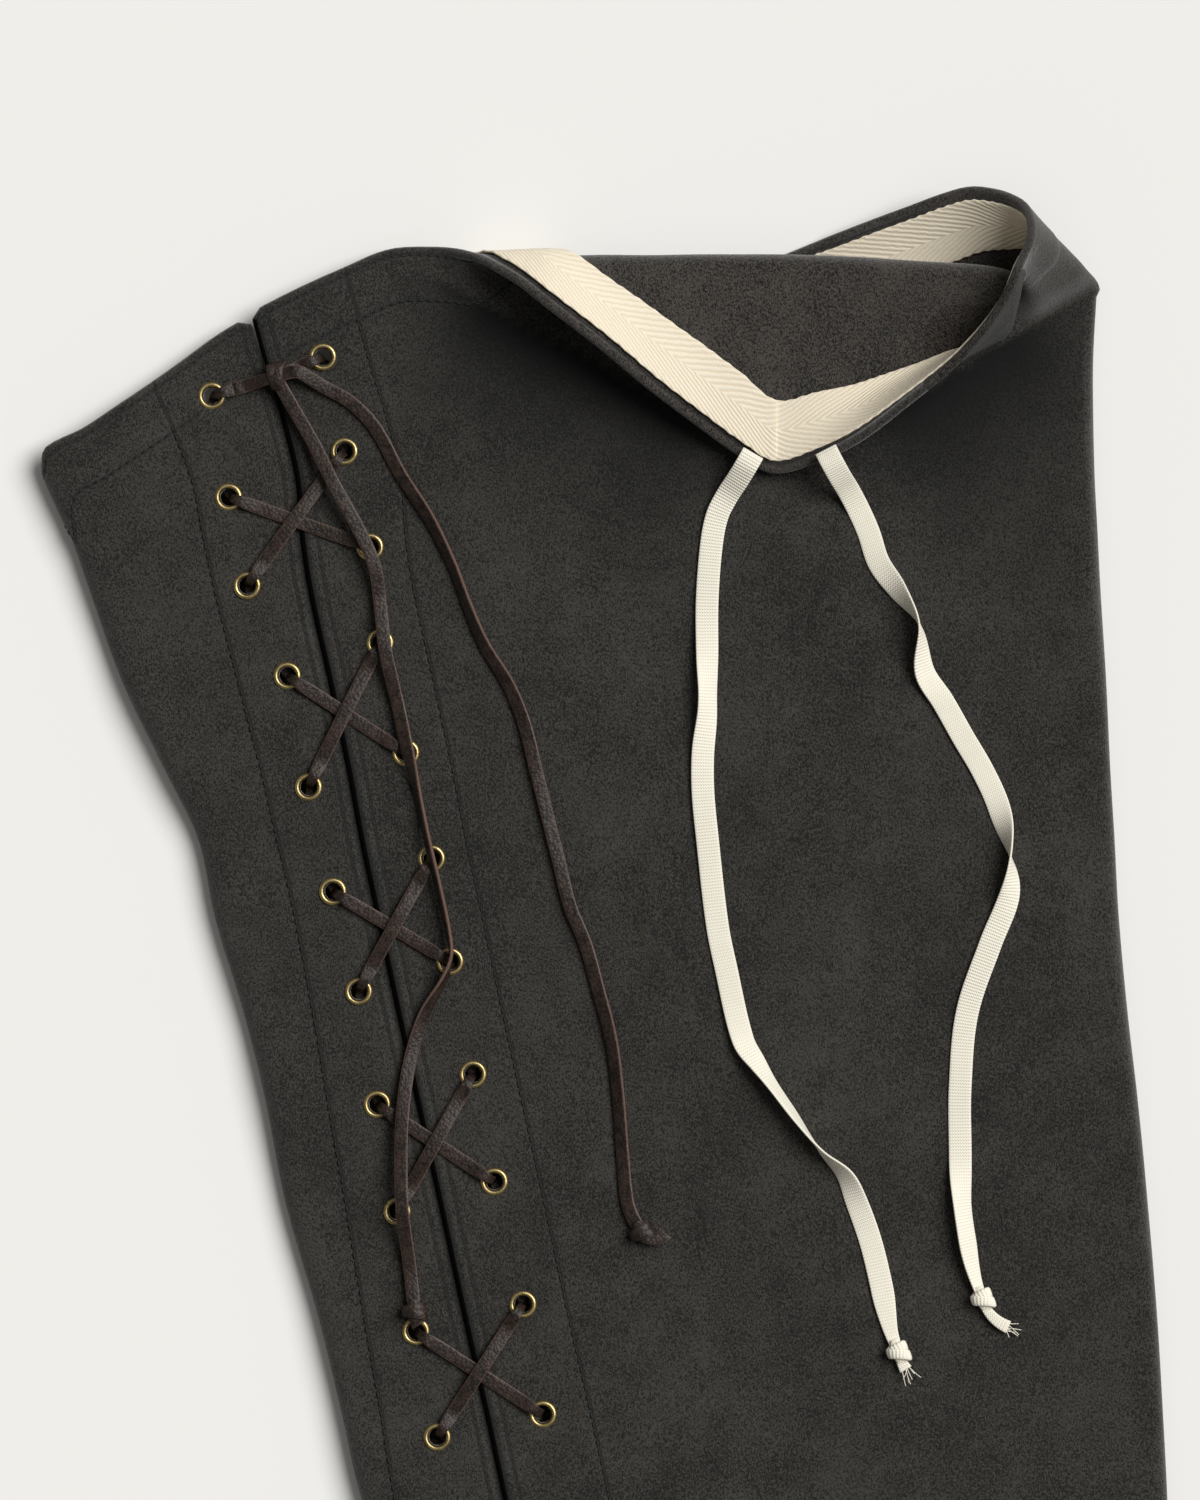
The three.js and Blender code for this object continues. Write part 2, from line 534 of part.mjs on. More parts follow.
// Eyelets: a barrel through the cloth with a flange on each face.
function eyelet({ x, y }) {
  const [low, high] = [FRONT_Z - WOOL / 2 - SEAM_GAP, FRONT_TOP + SEAM_GAP];
  const profile = [
    [EYELET_HOLE_R, low - EYELET_FLANGE],
    [EYELET_FLANGE_R, low - EYELET_FLANGE],
    [EYELET_FLANGE_R, low],
    [EYELET_BARREL_R, low],
    [EYELET_BARREL_R, high],
    [EYELET_FLANGE_R, high],
    [EYELET_FLANGE_R, high + EYELET_FLANGE],
    [EYELET_HOLE_R, high + EYELET_FLANGE],
    [EYELET_HOLE_R, low - EYELET_FLANGE],
  ];
  const ring = new THREE.LatheGeometry(profile.map(([r, z]) => new THREE.Vector2(r, z)), EYELET_SIDES);
  ring.rotateX(Math.PI / 2);
  ring.translate(x, y, 0);
  return ring;
}

LEFT_EYELETS.forEach((place, k) => addPiece(`eyelet_left_${k + 1}`, eyelet(place), "brass"));
RIGHT_EYELETS.forEach((place, k) => addPiece(`eyelet_right_${k + 1}`, eyelet(place), "brass"));

// Flat cord section with chamfered edges: x is its thickness, y its width.
function flatSection(width, thick) {
  const [w, t] = [width / 2, thick / 2];
  const edge = t * 0.6;
  return [
    [t, -w + edge], [t, w - edge], [t - edge, w], [edge - t, w],
    [-t, w - edge], [-t, edge - w], [edge - t, -w], [t - edge, -w],
  ].map(([x, y]) => new THREE.Vector2(x, y));
}

// The lace through its eyelets: each half crosses the slit on the face, and runs
// straight down inside between one crossing and the next.
const BEND_STEPS = 2;
const CROSSING_SHARES = [0.4, 0.6];

function throughEyelet(eyeletPlace, from, to, goesIn) {
  const centre = new THREE.Vector2(eyeletPlace.x, eyeletPlace.y);
  const rings = [];
  const arc = (way, outerZ, sign) => {
    const quarter = [];
    for (let k = 0; k <= BEND_STEPS; k += 1) {
      const turn = (Math.PI / 2) * (k / BEND_STEPS);
      const reach = LACE_BEND * (1 - Math.sin(turn));
      const z = outerZ - sign * LACE_BEND * (1 - Math.cos(turn));
      quarter.push({ x: centre.x + way.x * reach, y: centre.y + way.y * reach, z, way });
    }
    return quarter;
  };
  const fromWay = from.clone().sub(centre).normalize();
  const toWay = to.clone().sub(centre).normalize();
  const [startZ, endZ] = goesIn ? [LACE_TOP_Z, LACE_INSIDE_Z] : [LACE_INSIDE_Z, LACE_TOP_Z];
  const sign = Math.sign(startZ - endZ);
  rings.push(...arc(fromWay, startZ, sign).map((ring) => ({ ...ring, side: sideOf(fromWay, -1) })));
  rings.push(...arc(toWay, endZ, -sign).reverse().map((ring) => ({ ...ring, side: sideOf(toWay, 1) })));
  return rings;
}

// The lace's width lies square to its way, seen from above.
function sideOf(way, sense) {
  return new THREE.Vector3(-way.y * sense, way.x * sense, 0);
}

const flat = ({ x, y }) => new THREE.Vector2(x, y);
const KNOT_REACH = 1.5;

// A half starts in one row and changes to the other at every crossing, two rows apart.
function laceHalf(first, second, crossingZ) {
  const stops = first.map((place, k) => (Math.floor(k / 2) % 2 === 0 ? place : second[k]));
  return { stops, crossingZ };
}

function laceRings({ stops, crossingZ }, start, end) {
  const rings = [start];
  stops.forEach((stop, k) => {
    const from = k === 0 ? flat(start) : flat(stops[k - 1]);
    const to = k === stops.length - 1 ? flat(end) : flat(stops[k + 1]);
    const goesIn = k % 2 === 0;
    rings.push(...throughEyelet(stop, from, to, goesIn));
    if (!goesIn) {
      const next = stops[k + 1];
      const way = flat(next).sub(flat(stop)).normalize();
      const z = crossingZ[Math.floor(k / 2) % 2];
      for (const share of CROSSING_SHARES) {
        const place = flat(stop).lerp(flat(next), share);
        rings.push({ x: place.x, y: place.y, z, side: sideOf(way, 1) });
      }
    }
  });
  rings.push(end);
  return rings;
}

// A swept flat cord whose width is set at each ring.
function sweptRibbon(rings, width, thick) {
  const section = flatSection(width, thick);
  const count = section.length;
  const places = rings.map((ring) => new THREE.Vector3(ring.x, ring.y, ring.z));
  const positions = [];
  places.forEach((place, k) => {
    const [before, after] = [Math.max(k - 1, 0), Math.min(k + 1, places.length - 1)];
    const way = places[after].clone().sub(places[before]).normalize();
    const side = rings[k].side.clone().addScaledVector(way, -rings[k].side.dot(way)).normalize();
    const up = side.clone().cross(way);
    for (const corner of section) {
      const point = place.clone().addScaledVector(up, corner.x).addScaledVector(side, corner.y);
      positions.push(...point.toArray());
    }
  });
  const index = [];
  for (let k = 0; k < places.length - 1; k += 1) {
    for (let s = 0; s < count; s += 1) {
      const next = (s + 1) % count;
      const [a, b] = [k * count + s, k * count + next];
      index.push(a, b, b + count, a, b + count, a + count);
    }
  }
  const last = (places.length - 1) * count;
  for (let s = 1; s < count - 1; s += 1) {
    index.push(0, s + 1, s, last, last + s, last + s + 1);
  }
  const geometry = new THREE.BufferGeometry();
  geometry.setAttribute("position", new THREE.Float32BufferAttribute(positions, 3));
  geometry.setIndex(index);
  return geometry;
}

const laceKnot = KNOTS[0];
const bottomLeft = LEFT_EYELETS.at(-1);
const bottomRight = RIGHT_EYELETS.at(-1);
const bottomMiddle = flat(bottomLeft).lerp(flat(bottomRight), 0.5);

function laceStart(eyeletPlace) {
  const way = flat(eyeletPlace).sub(flat(laceKnot)).normalize();
  const reach = laceKnot.rx + KNOT_REACH;
  const place = flat(laceKnot).addScaledVector(way, reach);
  return { x: place.x, y: place.y, z: LACE_TOP_Z, side: sideOf(way, 1) };
}

function laceFoot(eyeletPlace) {
  const way = bottomMiddle.clone().sub(flat(eyeletPlace)).normalize();
  const place = bottomMiddle.clone().addScaledVector(way, -SEAM_GAP);
  return { x: place.x, y: place.y, z: LACE_INSIDE_Z, side: sideOf(way, 1) };
}

const UNDER_FIRST = [LACE_TOP_Z, LACE_OVER_Z];
const OVER_FIRST = [LACE_OVER_Z, LACE_TOP_Z];
const halfA = laceHalf(LEFT_EYELETS, RIGHT_EYELETS, UNDER_FIRST);
const halfB = laceHalf(RIGHT_EYELETS, LEFT_EYELETS, OVER_FIRST);
const laceA = laceRings(halfA, laceStart(LEFT_EYELETS[0]), laceFoot(halfA.stops.at(-1)));
const laceB = laceRings(halfB, laceStart(RIGHT_EYELETS[0]), laceFoot(halfB.stops.at(-1)));
addPiece("lace_a", sweptRibbon(laceA, LACE_WIDTH, LACE_THICK), "leather");
addPiece("lace_b", sweptRibbon(laceB, LACE_WIDTH, LACE_THICK), "leather");

// Free ends, each a flat cord along its own curve.
function freeCord(points, width, thick, steps) {
  const route = new THREE.CatmullRomCurve3(points.map((point) => new THREE.Vector3(...point)));
  const shape = new THREE.Shape(flatSection(width, thick));
  return new THREE.ExtrudeGeometry(shape, { steps, extrudePath: route });
}

const LACE_STEPS = 30;
const TIE_STEPS = 22;
addPiece("lace_end_left", freeCord(LACE_END_LEFT, LACE_WIDTH, LACE_THICK, LACE_STEPS), "leather");
addPiece("lace_end_right", freeCord(LACE_END_RIGHT, LACE_WIDTH, LACE_THICK, LACE_STEPS), "leather");
addPiece("tie_left", freeCord(TIE_LEFT, TIE_WIDTH, TIE_THICK, TIE_STEPS), "tie");
addPiece("tie_right", freeCord(TIE_RIGHT, TIE_WIDTH, TIE_THICK, TIE_STEPS), "tie");

const KNOT_SIDES = 12;
for (const { name, x, y, z, rx, ry, rz, finish } of KNOTS) {
  const knot = new THREE.SphereGeometry(1, KNOT_SIDES, KNOT_SIDES / 2);
  knot.scale(rx, ry, rz);
  knot.translate(x, y, z);
  addPiece(name, knot, finish);
}

export default group;
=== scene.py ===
import math
import random

import bpy
import numpy as np
from mathutils import Matrix


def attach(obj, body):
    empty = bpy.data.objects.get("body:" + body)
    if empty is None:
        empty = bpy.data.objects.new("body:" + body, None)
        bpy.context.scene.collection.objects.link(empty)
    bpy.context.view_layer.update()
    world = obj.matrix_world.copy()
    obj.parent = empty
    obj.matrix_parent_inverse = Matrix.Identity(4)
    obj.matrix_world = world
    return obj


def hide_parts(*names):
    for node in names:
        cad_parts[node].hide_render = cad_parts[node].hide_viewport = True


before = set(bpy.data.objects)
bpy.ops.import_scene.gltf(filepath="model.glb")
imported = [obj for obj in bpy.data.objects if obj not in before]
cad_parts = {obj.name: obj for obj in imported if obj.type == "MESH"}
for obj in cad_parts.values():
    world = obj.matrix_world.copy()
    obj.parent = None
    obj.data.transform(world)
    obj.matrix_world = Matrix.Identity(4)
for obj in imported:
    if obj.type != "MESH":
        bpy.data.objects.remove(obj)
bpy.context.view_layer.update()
bpy.ops.object.select_all(action="DESELECT")


# Camera. It looks straight down on the waist, from far enough away that the cloth keeps
# its proportions. The lower half of the leg runs on past the frame.
FRONT_TOP = 0.010
VIEW_MIDDLE = (-0.0065, 0.268)
VIEW_HEIGHT = 0.525
CAMERA_DISTANCE = 2.5
SENSOR_MM = 36

camera = bpy.data.objects.new("camera", bpy.data.cameras.new("camera"))
camera.data.sensor_width = SENSOR_MM
camera.data.lens = SENSOR_MM * CAMERA_DISTANCE / VIEW_HEIGHT
camera.location = (*VIEW_MIDDLE, FRONT_TOP + CAMERA_DISTANCE)
bpy.context.scene.collection.objects.link(camera)
bpy.context.scene.camera = camera


# Lay of the front layer. The wool lies in soft troughs and ridges over the back layer,
# each a straight stretch that fades out at both ends. Heights are above the CAD face.
# Columns: x and y of one end, x and y of the other, half width, height.
CREASES = [
    (0.000, 0.335, 0.027, 0.278, 0.013, -0.0016),
    (0.166, 0.443, 0.082, 0.388, 0.024, -0.0034),
    (0.088, 0.320, 0.110, 0.285, 0.009, -0.0020),
    (0.112, 0.290, 0.140, 0.335, 0.010, -0.0014),
    (0.060, 0.236, 0.112, 0.182, 0.013, -0.0016),
    (0.040, 0.262, 0.075, 0.215, 0.018, 0.0014),
    (0.075, 0.185, 0.100, 0.130, 0.017, 0.0013),
    (-0.008, 0.202, 0.050, 0.160, 0.011, -0.0012),
    (-0.030, 0.284, 0.012, 0.282, 0.008, -0.0008),
    (0.128, 0.152, 0.184, 0.122, 0.010, 0.0015),
    (0.122, 0.136, 0.180, 0.106, 0.009, -0.0011),
    (-0.020, 0.050, 0.180, 0.044, 0.014, -0.0010),
    (-0.175, 0.308, -0.128, 0.304, 0.009, -0.0011),
    (-0.150, 0.242, -0.110, 0.228, 0.008, -0.0012),
    (-0.126, 0.172, -0.092, 0.166, 0.010, -0.0011),
    (-0.112, 0.122, -0.086, 0.118, 0.008, -0.0010),
    (-0.095, 0.046, -0.050, 0.040, 0.010, -0.0009),
    (-0.010, 0.396, 0.030, 0.360, 0.016, -0.0012),
    (0.150, 0.365, 0.168, 0.300, 0.012, 0.0012),
    (0.030, 0.120, 0.090, 0.085, 0.016, 0.0010),
    (-0.070, -0.020, 0.030, -0.055, 0.013, -0.0015),
    (0.060, -0.010, 0.180, -0.048, 0.016, -0.0013),
    (-0.030, -0.088, 0.080, -0.120, 0.012, 0.0013),
    (0.090, -0.100, 0.185, -0.150, 0.014, -0.0016),
    (-0.010, -0.160, 0.090, -0.205, 0.015, -0.0014),
    (0.080, -0.215, 0.190, -0.240, 0.012, 0.0012),
    (0.020, -0.262, 0.120, -0.300, 0.013, -0.0015),
    (0.110, -0.330, 0.198, -0.318, 0.010, -0.0013),
    (0.040, -0.372, 0.130, -0.398, 0.011, -0.0012),
    (0.100, -0.430, 0.190, -0.415, 0.012, 0.0011),
]
# Slow swells of the whole layer: waves along x and y, start and height.
SWELLS = [
    (0.115, 0.210, 0.6, 0.0005),
    (0.180, 0.095, 2.1, 0.0005),
    (0.072, 0.135, 4.0, 0.0003),
]
# How fast a crease fades past its ends.
END_FADE = 1.6


def smoothstep(low, high, value):
    share = np.clip((value - low) / (high - low), 0, 1)
    return share * share * (3 - 2 * share)


def lay(x, y):
    """How far the front layer stands above its even face at a place."""
    x, y = np.asarray(x, float), np.asarray(y, float)
    height = np.zeros(np.broadcast(x, y).shape)
    for x0, y0, x1, y1, width, rise in CREASES:
        way = np.array([x1 - x0, y1 - y0])
        length = np.hypot(*way)
        way /= length
        along = (x - x0) * way[0] + (y - y0) * way[1]
        across = (y - y0) * way[0] - (x - x0) * way[1]
        past = np.maximum(np.abs(along - length / 2) - length / 4, 0) / (length / 4 + width)
        height += rise * np.exp(-((across / width) ** 2) - END_FADE * past**2)
    for wave_x, wave_y, start, rise in SWELLS:
        height += rise * np.sin(math.tau * (x / wave_x + y / wave_y) + start)
    return height


# Free lace ends and waist ties. The lace is a flat cut leather thong, and the ties are
# plain woven cotton tape. They lie loose on the front, and turn on edge here and there.
LACE_WIDTH = 0.0046
LACE_THICK = 0.0015
TIE_WIDTH = 0.008
TIE_THICK = 0.0009
CORD_STEP = 0.0014
CORD_CLEARANCE = 0.0001
LACE_CORNER = 6
TIE_CORNER = 5
# How each kind narrows into its end knot: the length over which it does, share left.
NARROWING = {"lace": (0.004, 0.8), "tie": (0.022, 0.5)}


def at_height(z, *places):
    """Places on a cord's route where it lies at one height: x and y of each."""
    return [(x, y, z) for x, y in places]


# Routes, from where each cord leaves the knot or the waist to its end knot.
ROUTES = {
    "lace_end_left": [
        (-0.116, 0.3915, 0.0138), (-0.1065, 0.375, 0.0146), (-0.0995, 0.361, 0.0164),
        (-0.0915, 0.3465, 0.0156), (-0.0855, 0.333, 0.0152), (-0.0835, 0.3205, 0.0132),
        (-0.0815, 0.303, 0.015), (-0.077, 0.283, 0.0126), (-0.0735, 0.267, 0.0152),
        (-0.07, 0.251, 0.0126), (-0.0665, 0.235, 0.015), (-0.063, 0.22, 0.0142),
        (-0.0595, 0.204, 0.0142), (-0.0585, 0.196, 0.015), (-0.061, 0.188, 0.0148),
        (-0.068, 0.1755, 0.0122), (-0.073, 0.159, 0.012), (-0.0755, 0.1405, 0.0152),
        (-0.076, 0.123, 0.0154), (-0.0755, 0.107, 0.0164), (-0.073, 0.087, 0.0126),
        (-0.0718, 0.0762, 0.0132),
    ],
    "lace_end_right": [
        (-0.1123, 0.4002, 0.0154), (-0.108, 0.398, 0.014), (-0.103, 0.395, 0.0122),
        (-0.0935, 0.3895, 0.0116),
        *at_height(0.0115, (-0.085, 0.3805), (-0.076, 0.364), (-0.0665, 0.3495),
                   (-0.0585, 0.3335), (-0.053, 0.319), (-0.047, 0.305), (-0.0385, 0.291),
                   (-0.033, 0.2775), (-0.029, 0.2615), (-0.025, 0.2455), (-0.021, 0.2295),
                   (-0.017, 0.2135), (-0.0115, 0.2), (-0.007, 0.184), (-0.0025, 0.1665),
                   (0.0, 0.1465), (0.0015, 0.126)),
        (0.003, 0.1105, 0.0116), (0.005, 0.1045, 0.012),
    ],
    "tie_left": [
        (0.047, 0.3716, 0.0188), (0.0446, 0.3674, 0.0188), (0.0418, 0.3628, 0.016),
        (0.038, 0.357, 0.0122), (0.0345, 0.35, 0.011),
        *at_height(0.0108, (0.0325, 0.34), (0.031, 0.3205), (0.031, 0.3), (0.031, 0.2815),
                   (0.0295, 0.267), (0.0295, 0.2535), (0.031, 0.2375), (0.0345, 0.207),
                   (0.0375, 0.192), (0.0435, 0.1665), (0.0485, 0.1585), (0.062, 0.1395),
                   (0.071, 0.1275), (0.079, 0.1195), (0.083, 0.1105), (0.088, 0.0965),
                   (0.0915, 0.0825)),
        (0.095, 0.0655, 0.011),
    ],
    "tie_right": [
        (0.072, 0.3726, 0.025), (0.0742, 0.3682, 0.0256), (0.0772, 0.3632, 0.0214),
        (0.0806, 0.3582, 0.0144), (0.084, 0.352, 0.0109),
        *at_height(0.0108, (0.0875, 0.344), (0.091, 0.3335), (0.0975, 0.324), (0.105, 0.312),
                   (0.107, 0.2955), (0.1135, 0.285), (0.1205, 0.2725), (0.1275, 0.2605),
                   (0.133, 0.248), (0.137, 0.23), (0.1365, 0.217), (0.13, 0.2), (0.122, 0.176),
                   (0.1195, 0.15), (0.1195, 0.1305), (0.12, 0.1105), (0.1225, 0.093)),
        (0.1245, 0.084, 0.011),
    ],
}
# Each cord runs on into its knot, and the lace's ends start from the knot at the waist.
# Columns: node, the CAD solid's centre, way through it in degrees, tail's length and turn.
KNOTS = [
    ("lace_knot", (-0.120, 0.3985, 0.0140), 8, 0.0, 0),
    ("lace_end_left_knot", (-0.0715, 0.072, 0.0136), -84, 0.0015, 10),
    ("lace_end_right_knot", (0.008, 0.0995, 0.0132), -62, 0.0045, 60),
    ("tie_left_knot", (0.0975, 0.058, 0.0130), -72, 0.0032, 6),
    ("tie_right_knot", (0.1270, 0.0765, 0.0131), -72, 0.0100, 24),
]
KNOT_MIDDLES = {row[0]: row[1] for row in KNOTS}
# How each cord is turned about its own line: share of its length, degrees.
ROLLS = {
    "lace_end_left": [(0, 4), (0.25, -6), (0.4, 20), (0.46, 62), (0.6, 72), (0.66, 120),
                      (0.74, 172), (0.9, 186), (1, 176)],
    "lace_end_right": [(0, 172), (0.16, 196), (0.3, 232), (0.42, 205), (0.55, 172), (0.7, 190),
                       (0.85, 212), (1, 184)],
    "tie_left": [(0, -6), (0.15, 0), (0.22, -12), (0.27, -36), (0.33, -8), (0.5, 0),
                 (0.62, -10), (0.68, -60), (0.73, -74), (0.78, -104), (0.84, -164),
                 (0.9, -180), (1, -184)],
    "tie_right": [(0, 4), (0.16, 14), (0.23, 90), (0.3, 166), (0.37, 180), (0.45, 190),
                  (0.505, 268), (0.56, 345), (0.64, 360), (0.84, 358), (0.9, 322), (1, 330)],
}


def smooth_through(knots, values, at):
    """A smooth curve through a table's rows, whose slopes come from each row's neighbours."""
    knots, values, at = (np.asarray(numbers, float) for numbers in (knots, values, at))
    spread = (-1,) + (1,) * (values.ndim - 1)
    order = np.arange(len(knots))
    before, after = np.maximum(order - 1, 0), np.minimum(order + 1, len(knots) - 1)
    slopes = (values[after] - values[before]) / (knots[after] - knots[before]).reshape(spread)
    low = np.clip(np.searchsorted(knots, at, side="right") - 1, 0, len(knots) - 2)
    span = (knots[low + 1] - knots[low]).reshape(spread)
    t = (at - knots[low]).reshape(spread) / span
    rise = t * t * (3 - 2 * t)
    bend = t * (1 - t) * span
    step = values[low + 1] - values[low]
    return values[low] + step * rise + bend * ((1 - t) * slopes[low] - t * slopes[low + 1])


def unit(vectors):
    return vectors / np.linalg.norm(vectors, axis=-1, keepdims=True)


def lengths_along(points):
    """The distance along a line at each of its points."""
    steps = np.linalg.norm(np.diff(points, axis=0), axis=1)
    return np.concatenate([[0], np.cumsum(steps)])


def mesh_piece(name, points, faces, **marks):
    """A smooth mesh object, with a number at each point for each mark."""
    mesh = bpy.data.meshes.new(name)
    mesh.from_pydata(points, [], faces)
    for label, values in marks.items():
        mesh.attributes.new(label, "FLOAT", "POINT").data.foreach_set("value", values)
    mesh.shade_smooth()
    piece = bpy.data.objects.new(name, mesh)
    bpy.context.scene.collection.objects.link(piece)
    return piece


def band(name, centres, sides, width, thick, corner, sections=16):
    """A flat cord swept along its centres, with its width along the sides.
    Its points are marked with their place along it, across it, and on which face they are."""
    centres = np.asarray(centres, float)
    ways = unit(np.gradient(centres, axis=0))
    sides = sides - ways * np.sum(sides * ways, axis=1, keepdims=True)
    sides = unit(sides)
    ups = np.cross(ways, sides)
    angles = math.tau * (np.arange(sections) + 0.5) / sections
    flat_out = np.sign(np.cos(angles)) * np.abs(np.cos(angles)) ** (2 / corner)
    flat_up = np.sign(np.sin(angles)) * np.abs(np.sin(angles)) ** (2 / corner)
    wide = np.broadcast_to(width, len(centres)).reshape(-1, 1, 1) / 2
    points = centres[:, None] + sides[:, None] * flat_out[:, None] * wide
    points = points + ups[:, None] * flat_up[:, None] * thick / 2
    count = len(centres)
    at = np.arange(count * sections).reshape(count, sections)
    after = np.roll(at, -1, axis=1)
    quads = np.stack([at[:-1], after[:-1], after[1:], at[1:]], axis=-1).reshape(-1, 4)
    faces = quads.tolist() + [at[0][::-1].tolist(), at[-1].tolist()]
    return mesh_piece(
        name, points.reshape(-1, 3), faces,
        along=np.repeat(lengths_along(centres), sections),
        across=(flat_out * wide[:, 0]).ravel(),
        face=np.tile(flat_up, count),
    )


def level_sides(centres):
    ways = np.gradient(np.asarray(centres, float), axis=0)
    return unit(np.stack([-ways[:, 1], ways[:, 0], np.zeros(len(ways))], axis=1))


def set_on(piece, finish, slot, *nodes):
    """Finishes a piece and sets it on the garment, in place of its CAD nodes."""
    piece.data.materials.append(finish.material)
    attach(piece, "root")
    if nodes:
        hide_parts(*nodes)


def free_cord(name):
    """A cord that lies on the front, never lower than the cloth lets its turned width be."""
    kind = name.split("_")[0]
    width, thick, corner, finish, slot = CORDS[kind]
    start = [KNOT_MIDDLES["lace_knot"]] if kind == "lace" else []
    route = np.array(start + ROUTES[name] + [KNOT_MIDDLES[name + "_knot"]], float)
    stops = lengths_along(route)
    count = round(stops[-1] / CORD_STEP)
    centres = smooth_through(stops, route, np.linspace(0, stops[-1], count))
    shares, degrees = zip(*ROLLS[name])
    rolls = np.radians(smooth_through(shares, degrees, np.linspace(0, 1, count)))
    rise = lay(centres[:, 0], centres[:, 1])
    reach = np.abs(np.sin(rolls)) * width / 2 + np.abs(np.cos(rolls)) * thick / 2
    centres[:, 2] = np.maximum(centres[:, 2], FRONT_TOP + CORD_CLEARANCE + reach) + rise
    sides = level_sides(centres)
    ups = np.cross(unit(np.gradient(centres, axis=0)), sides)
    sides = sides * np.cos(rolls)[:, None] + ups * np.sin(rolls)[:, None]
    length, left = NARROWING[kind]
    to_end = np.linspace(stops[-1], 0, count)
    piece = band(
        "loose_" + name, centres, sides,
        width * (left + (1 - left) * smoothstep(0, length, to_end)), thick, corner)
    set_on(piece, finish, slot, name)
    return piece, centres


# Finishes are built from nodes. A socket is wrapped so that sums on it read as Python.
class Value:
    """A shader socket. Each operator on it adds the Math node that works it out."""

    def __init__(self, finish, socket):
        self.finish = finish
        self.socket = socket

    def math(self, operation, first, second=0.0):
        return self.finish.node("ShaderNodeMath", {"operation": operation}, {0: first, 1: second})

    def __add__(self, other):
        return self.math("ADD", self, other)

    def __radd__(self, other):
        return self.math("ADD", other, self)

    def __sub__(self, other):
        return self.math("SUBTRACT", self, other)

    def __rsub__(self, other):
        return self.math("SUBTRACT", other, self)

    def __mul__(self, other):
        return self.math("MULTIPLY", self, other)

    def __rmul__(self, other):
        return self.math("MULTIPLY", other, self)

    def __truediv__(self, other):
        return self.math("DIVIDE", self, other)

    def __abs__(self):
        return self.math("ABSOLUTE", self)

    def sine(self):
        return self.math("SINE", self)


class Finish:
    """A material: its shader's fixed numbers, and nodes that feed what varies."""

    def __init__(self, name, fixed):
        self.material = bpy.data.materials.new(name)
        self.material.use_nodes = True
        self.tree = self.material.node_tree
        self.shader = self.tree.nodes["Principled BSDF"]
        for label, value in fixed.items():
            self.shader.inputs[label].default_value = value

    def feed(self, socket, value):
        if isinstance(value, Value):
            self.tree.links.new(value.socket, socket)
        else:
            socket.default_value = value

    def node(self, kind, settings, inputs, output=0):
        """Adds a node: its settings, then its sockets' values or links."""
        made = self.tree.nodes.new(kind)
        for label, setting in settings.items():
            setattr(made, label, setting)
        for key, value in inputs.items():
            self.feed(made.inputs[key], value)
        return Value(self, made.outputs[output])

    def mark(self, label):
        return self.node("ShaderNodeAttribute", {"attribute_name": label}, {}, "Fac")

    def place(self, scale=(1, 1, 1), degrees=(0, 0, 0)):
        where = self.node("ShaderNodeTexCoord", {}, {}, "Object")
        turn = tuple(math.radians(angle) for angle in degrees)
        return self.node(
            "ShaderNodeMapping", {}, {"Vector": where, "Scale": scale, "Rotation": turn})

    def noise(self, size, detail=2.0, roughness=0.5, where=None):
        """Cloudy noise about one half, with lumps of a size in metres."""
        return self.node(
            "ShaderNodeTexNoise", {},
            {"Vector": where or self.place(), "Scale": 1 / size, "Detail": detail,
             "Roughness": roughness})

    def step(self, value, low, high):
        return self.node(
            "ShaderNodeMapRange", {"interpolation_type": "SMOOTHSTEP"},
            {"Value": value, "From Min": low, "From Max": high})

    def blend(self, share, first, second):
        return self.node(
            "ShaderNodeMix", {"data_type": "RGBA"}, {0: share, 6: first, 7: second}, 2)

    def finish(self, colour, height, distance, roughness=None):
        bump = self.node(
            "ShaderNodeBump", {}, {"Height": height, "Distance": distance, "Strength": 1.0})
        self.feed(self.shader.inputs["Base Color"], colour)
        self.feed(self.shader.inputs["Normal"], bump)
        if roughness is not None:
            self.feed(self.shader.inputs["Roughness"], roughness)


# Leather: brown on its pebbled grain side, paler suede behind, and raw reddish cut edges.
LEATHER_DARK = (0.008, 0.0048, 0.0036, 1)
LEATHER_LIGHT = (0.046, 0.028, 0.020, 1)
SUEDE_DARK = (0.020, 0.011, 0.008, 1)
SUEDE_LIGHT = (0.100, 0.058, 0.042, 1)
RAW_EDGE = (0.20, 0.12, 0.09, 1)
RAW_FROM = 0.0019
RAW_TO = 0.0023
PEBBLE_SIZE = 0.0011
SUEDE_SIZE = 0.0006
GRAIN_SIZE = 0.004
LEATHER_RELIEF = 0.0003
leather = Finish("leather", {"Specular IOR Level": 0.3})
pebble = leather.node(
    "ShaderNodeTexVoronoi", {}, {"Vector": leather.place(), "Scale": 1 / PEBBLE_SIZE})
suede = leather.noise(SUEDE_SIZE, 3.0, 0.7)
grain = leather.noise(GRAIN_SIZE, 3.0)
face = leather.mark("face")
on_grain = leather.step(abs(face), 0.35, 0.8)
grain_tone = (grain - 0.5) * 1.6 + (suede - 0.5) * 1.2 + (0.45 - pebble) * 0.7 + 0.42
grain_colour = leather.blend(grain_tone, LEATHER_DARK, LEATHER_LIGHT)
suede_colour = leather.blend(suede, SUEDE_DARK, SUEDE_LIGHT)
leather_colour = leather.blend(on_grain, suede_colour, grain_colour)
raw = leather.step(abs(leather.mark("across")), RAW_FROM, RAW_TO) * (0.4 + suede)
leather_colour = leather.blend(raw * 0.6, leather_colour, RAW_EDGE)
